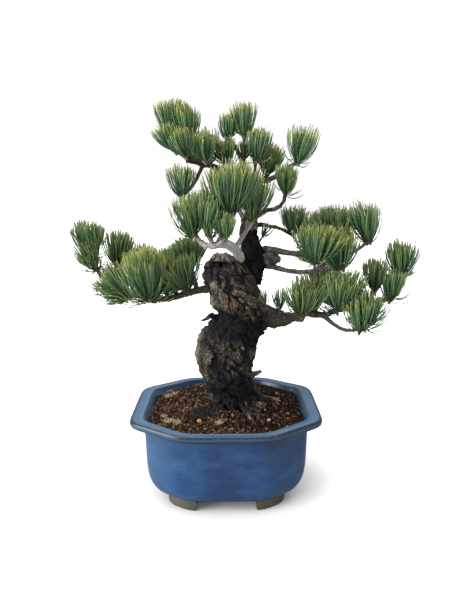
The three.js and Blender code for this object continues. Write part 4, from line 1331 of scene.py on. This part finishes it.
def tuft_mesh(rng, node, wood, settings):
    """A tuft's needles and twigs as one mesh, with the needle map and the faces' material numbers."""
    loose = HANGING_MANY if any(word in node for word in LOOSE) else HANGING_FEW
    parts, first = [], 0
    for root, start, way, high, reach, count in shoots_of(rng, node, wood, settings):
        rings = needle_rings(rng, start, way, high, reach, count, settings.thickness, loose)
        quads, across, up = needle_faces(count, first)
        strips = np.repeat(rng.beta(0.75, 0.95, count), len(across)) * (TWIG_STRIP - 0.03)
        strips = strips[:, None] + np.tile(across, (count, 1)) * STRIP_WIDTH
        parts.append((rings.reshape(-1, 3), quads, np.stack([strips, np.tile(up, (count, 1))], axis=-1), 0))
        first += rings.size // 3

        stem = high * 0.33
        line = [root, (root + start) / 2, start]
        line += [start + way * length for length in (stem * 0.6, stem, stem + 4 * MM)]
        rings = tube(line, TWIG_RADII)
        levels, sides = rings.shape[:2]
        level = np.repeat(np.arange(levels - 1), sides) / (levels - 1)
        up = np.stack([level, level, level + 0.2, level + 0.2], axis=-1)
        across = np.broadcast_to([0.0, STRIP_WIDTH, STRIP_WIDTH, 0.0], up.shape) + TWIG_STRIP
        quads = band_faces(levels, sides) + first
        parts.append((rings.reshape(-1, 3), quads, np.stack([across, up], axis=-1), 1))
        first += rings.size // 3

    points, faces, places, marks = zip(*parts)
    mesh = mesh_from_arrays(node.replace("tuft", "needles"), np.concatenate(points), np.concatenate(faces))
    layer = mesh.uv_layers.new(name=NEEDLE_MAP)
    layer.data.foreach_set("uv", np.concatenate(places).astype(np.float32).ravel())
    return mesh, np.repeat(marks, [len(quads) for quads in faces]).astype(np.int32)


class BONSAI_OT_needles(bpy.types.Operator):
    """Grow the needles of every tuft on short shoots"""

    bl_idname = "bonsai.needles"
    bl_label = "Needles"

    def execute(self, context):
        settings, tones = context.scene.bonsai_needles, context.scene.bonsai_wood
        wood_points, wood_faces = [], []
        for node in ["trunk", *BRANCH_NODES]:
            mesh = NODES[node].data
            wood_faces += [tuple(i + len(wood_points) for i in polygon.vertices) for polygon in mesh.polygons]
            wood_points += [vertex.co.copy() for vertex in mesh.vertices]
        wood = BVHTree.FromPolygons(wood_points, wood_faces)
        finishes = {name: needle_material(name, settings, sun) for name, sun in NEEDLE_SUN.items()}
        twig = twig_material(tones.young, tones.twig)
        for number, node in enumerate(TUFT_NODES):
            mesh, marks = tuft_mesh(np.random.default_rng(settings.seed + number), node, wood, settings)
            # Sunlit tufts get the finish with the stronger painted sunlight on their tips.
            finish = "needles_sunlit" if any(word in node for word in SUNLIT) else "needles"
            add_piece(mesh.name, mesh, [finishes[finish], twig], [node])
            mesh.polygons.foreach_set("material_index", marks)
            mesh.update()
        return {"FINISHED"}


# ---------------------------------------------------------------- Stage
# The soft lamps: name, the way they lie from the tree, share of the key light, width in radians.
LAMPS = (
    ("key", (-1.0, -0.45, 0.18), 1.9, 0.8),
    ("top", (-0.12, -0.12, 1.0), 1.4, 1.3),
    ("fill", (0.9, -0.9, 0.35), 0.08, 1.2),
)
CAMERA_RIGHT = 2.7 * MM  # the camera stands this far to the right of the pot's middle
FLOOR_HALF = 6.0  # half the floor's width, in metres
# The floor's painted glow: it turns from shaded to white between these distances from the pot.
GLOW_NEAR, GLOW_FAR = 60 * MM, 190 * MM  # the floor turns from shaded to white between these from the pot


def floor_material(floor):
    """Pale paper that is dimmer to the light it gives back, and glows white away from the pot: painted light
    that hides the tree's shadow there.
    """
    material, tree = new_material("floor_paper")
    seen = add_node(tree, "LightPath").outputs["Is Camera Ray"]
    soft = effect(tree, "clouds", Scale=3.0)
    near = mix(tree, soft, floor, shade(floor, 0.985))
    dim = mix(tree, soft, shade(floor, 0.35), shade(floor, 0.33))
    middle = (POT_MIDDLE.x, POT_MIDDLE.y - 30 * MM, 0)
    away = vector_math(tree, "DISTANCE", place_on_object(tree), middle)
    # Painted light: the floor glows more the farther it lies from the pot.
    glow = map_range(tree, away, GLOW_NEAR, GLOW_FAR, 0.04, 0.42, smooth=True)
    return finish_material(
        material,
        Base_Color=mix(tree, seen, dim, near),
        Roughness=0.9,
        Emission_Color=(1, 1, 1),
        Emission_Strength=calculate(tree, "MULTIPLY", glow, seen),
    )


def white_room(ambient):
    """A world that looks white and lights the tree evenly."""
    world = bpy.data.worlds.new("studio")
    world.use_nodes = True
    tree = world.node_tree
    seen = add_node(tree, "LightPath").outputs["Is Camera Ray"]
    strength = map_range(tree, seen, 0.0, 1.0, ambient, 1.0)
    feed_named(tree, tree.nodes["Background"], {"Color": (1, 1, 1), "Strength": strength})
    arrange(tree)
    return world


class BONSAI_OT_stage(bpy.types.Operator):
    """Lay the floor, light it softly and place the camera"""

    bl_idname = "bonsai.stage"
    bl_label = "Studio"

    def execute(self, context):
        settings = context.scene.bonsai_studio
        place = context.scene.collection.objects.link
        mesh = bpy.data.meshes.new("floor")
        corners = [(x * FLOOR_HALF, y * FLOOR_HALF, 0) for x, y in ((-1, -1), (1, -1), (1, 1), (-1, 1))]
        mesh.from_pydata(corners, [], [(0, 1, 2, 3)])
        mesh.materials.append(floor_material(settings.floor))
        floor = bpy.data.objects.new("floor", mesh)
        place(floor)
        context.scene.world = white_room(settings.ambient)

        for name, way, share, width in LAMPS:
            light = bpy.data.lights.new(name, "SUN")
            light.energy, light.angle = settings.key_power * share, width
            lamp = bpy.data.objects.new(name, light)
            lamp.rotation_euler = Vector(way).to_track_quat("Z", "Y").to_euler()
            place(lamp)

        lens = bpy.data.cameras.new("camera")
        lens.lens, lens.sensor_width, lens.sensor_fit = settings.lens, 36.0, "AUTO"
        lens.clip_start, lens.clip_end = 0.01, 50.0
        camera = bpy.data.objects.new("camera", lens)
        camera.location = (POT_MIDDLE.x + CAMERA_RIGHT, POT_MIDDLE.y - settings.distance, settings.height)
        camera.rotation_euler = (math.pi / 2 - settings.pitch, 0, -settings.yaw)
        place(camera)
        context.scene.camera = camera
        context.scene.view_settings.view_transform = "Standard"
        return {"FINISHED"}


# ---------------------------------------------------------------- Panel and start
SETTINGS = {
    "bonsai_pot": PotSettings,
    "bonsai_soil": SoilSettings,
    "bonsai_wood": WoodSettings,
    "bonsai_needles": NeedleSettings,
    "bonsai_studio": StudioSettings,
}
STEPS = (
    BONSAI_OT_pot,
    BONSAI_OT_fittings,
    BONSAI_OT_soil,
    BONSAI_OT_trunk,
    BONSAI_OT_branches,
    BONSAI_OT_needles,
    BONSAI_OT_stage,
)


class BONSAI_PT_panel(bpy.types.Panel):
    """The bonsai's steps and settings"""

    bl_idname = "BONSAI_PT_panel"
    bl_label = "Bonsai pine"
    bl_space_type = "VIEW_3D"
    bl_region_type = "UI"
    bl_category = "Bonsai"

    def draw(self, context):
        for step in STEPS:
            self.layout.operator(step.bl_idname)
        for name, kind in SETTINGS.items():
            column = self.layout.box().column()
            for key in kind.__annotations__:
                column.prop(getattr(context.scene, name), key)


def register():
    for kind in (*SETTINGS.values(), *STEPS, BONSAI_PT_panel):
        bpy.utils.register_class(kind)
    for name, kind in SETTINGS.items():
        setattr(bpy.types.Scene, name, PointerProperty(type=kind))


def unregister():
    for name in SETTINGS:
        delattr(bpy.types.Scene, name)
    for kind in (BONSAI_PT_panel, *reversed(STEPS), *reversed(tuple(SETTINGS.values()))):
        bpy.utils.unregister_class(kind)


def main():
    register()
    bpy.ops.bonsai.pot()
    bpy.ops.bonsai.fittings()
    bpy.ops.bonsai.soil()
    bpy.ops.bonsai.trunk()
    bpy.ops.bonsai.branches()
    bpy.ops.bonsai.needles()
    bpy.ops.bonsai.stage()


if __name__ == "__main__":
    main()
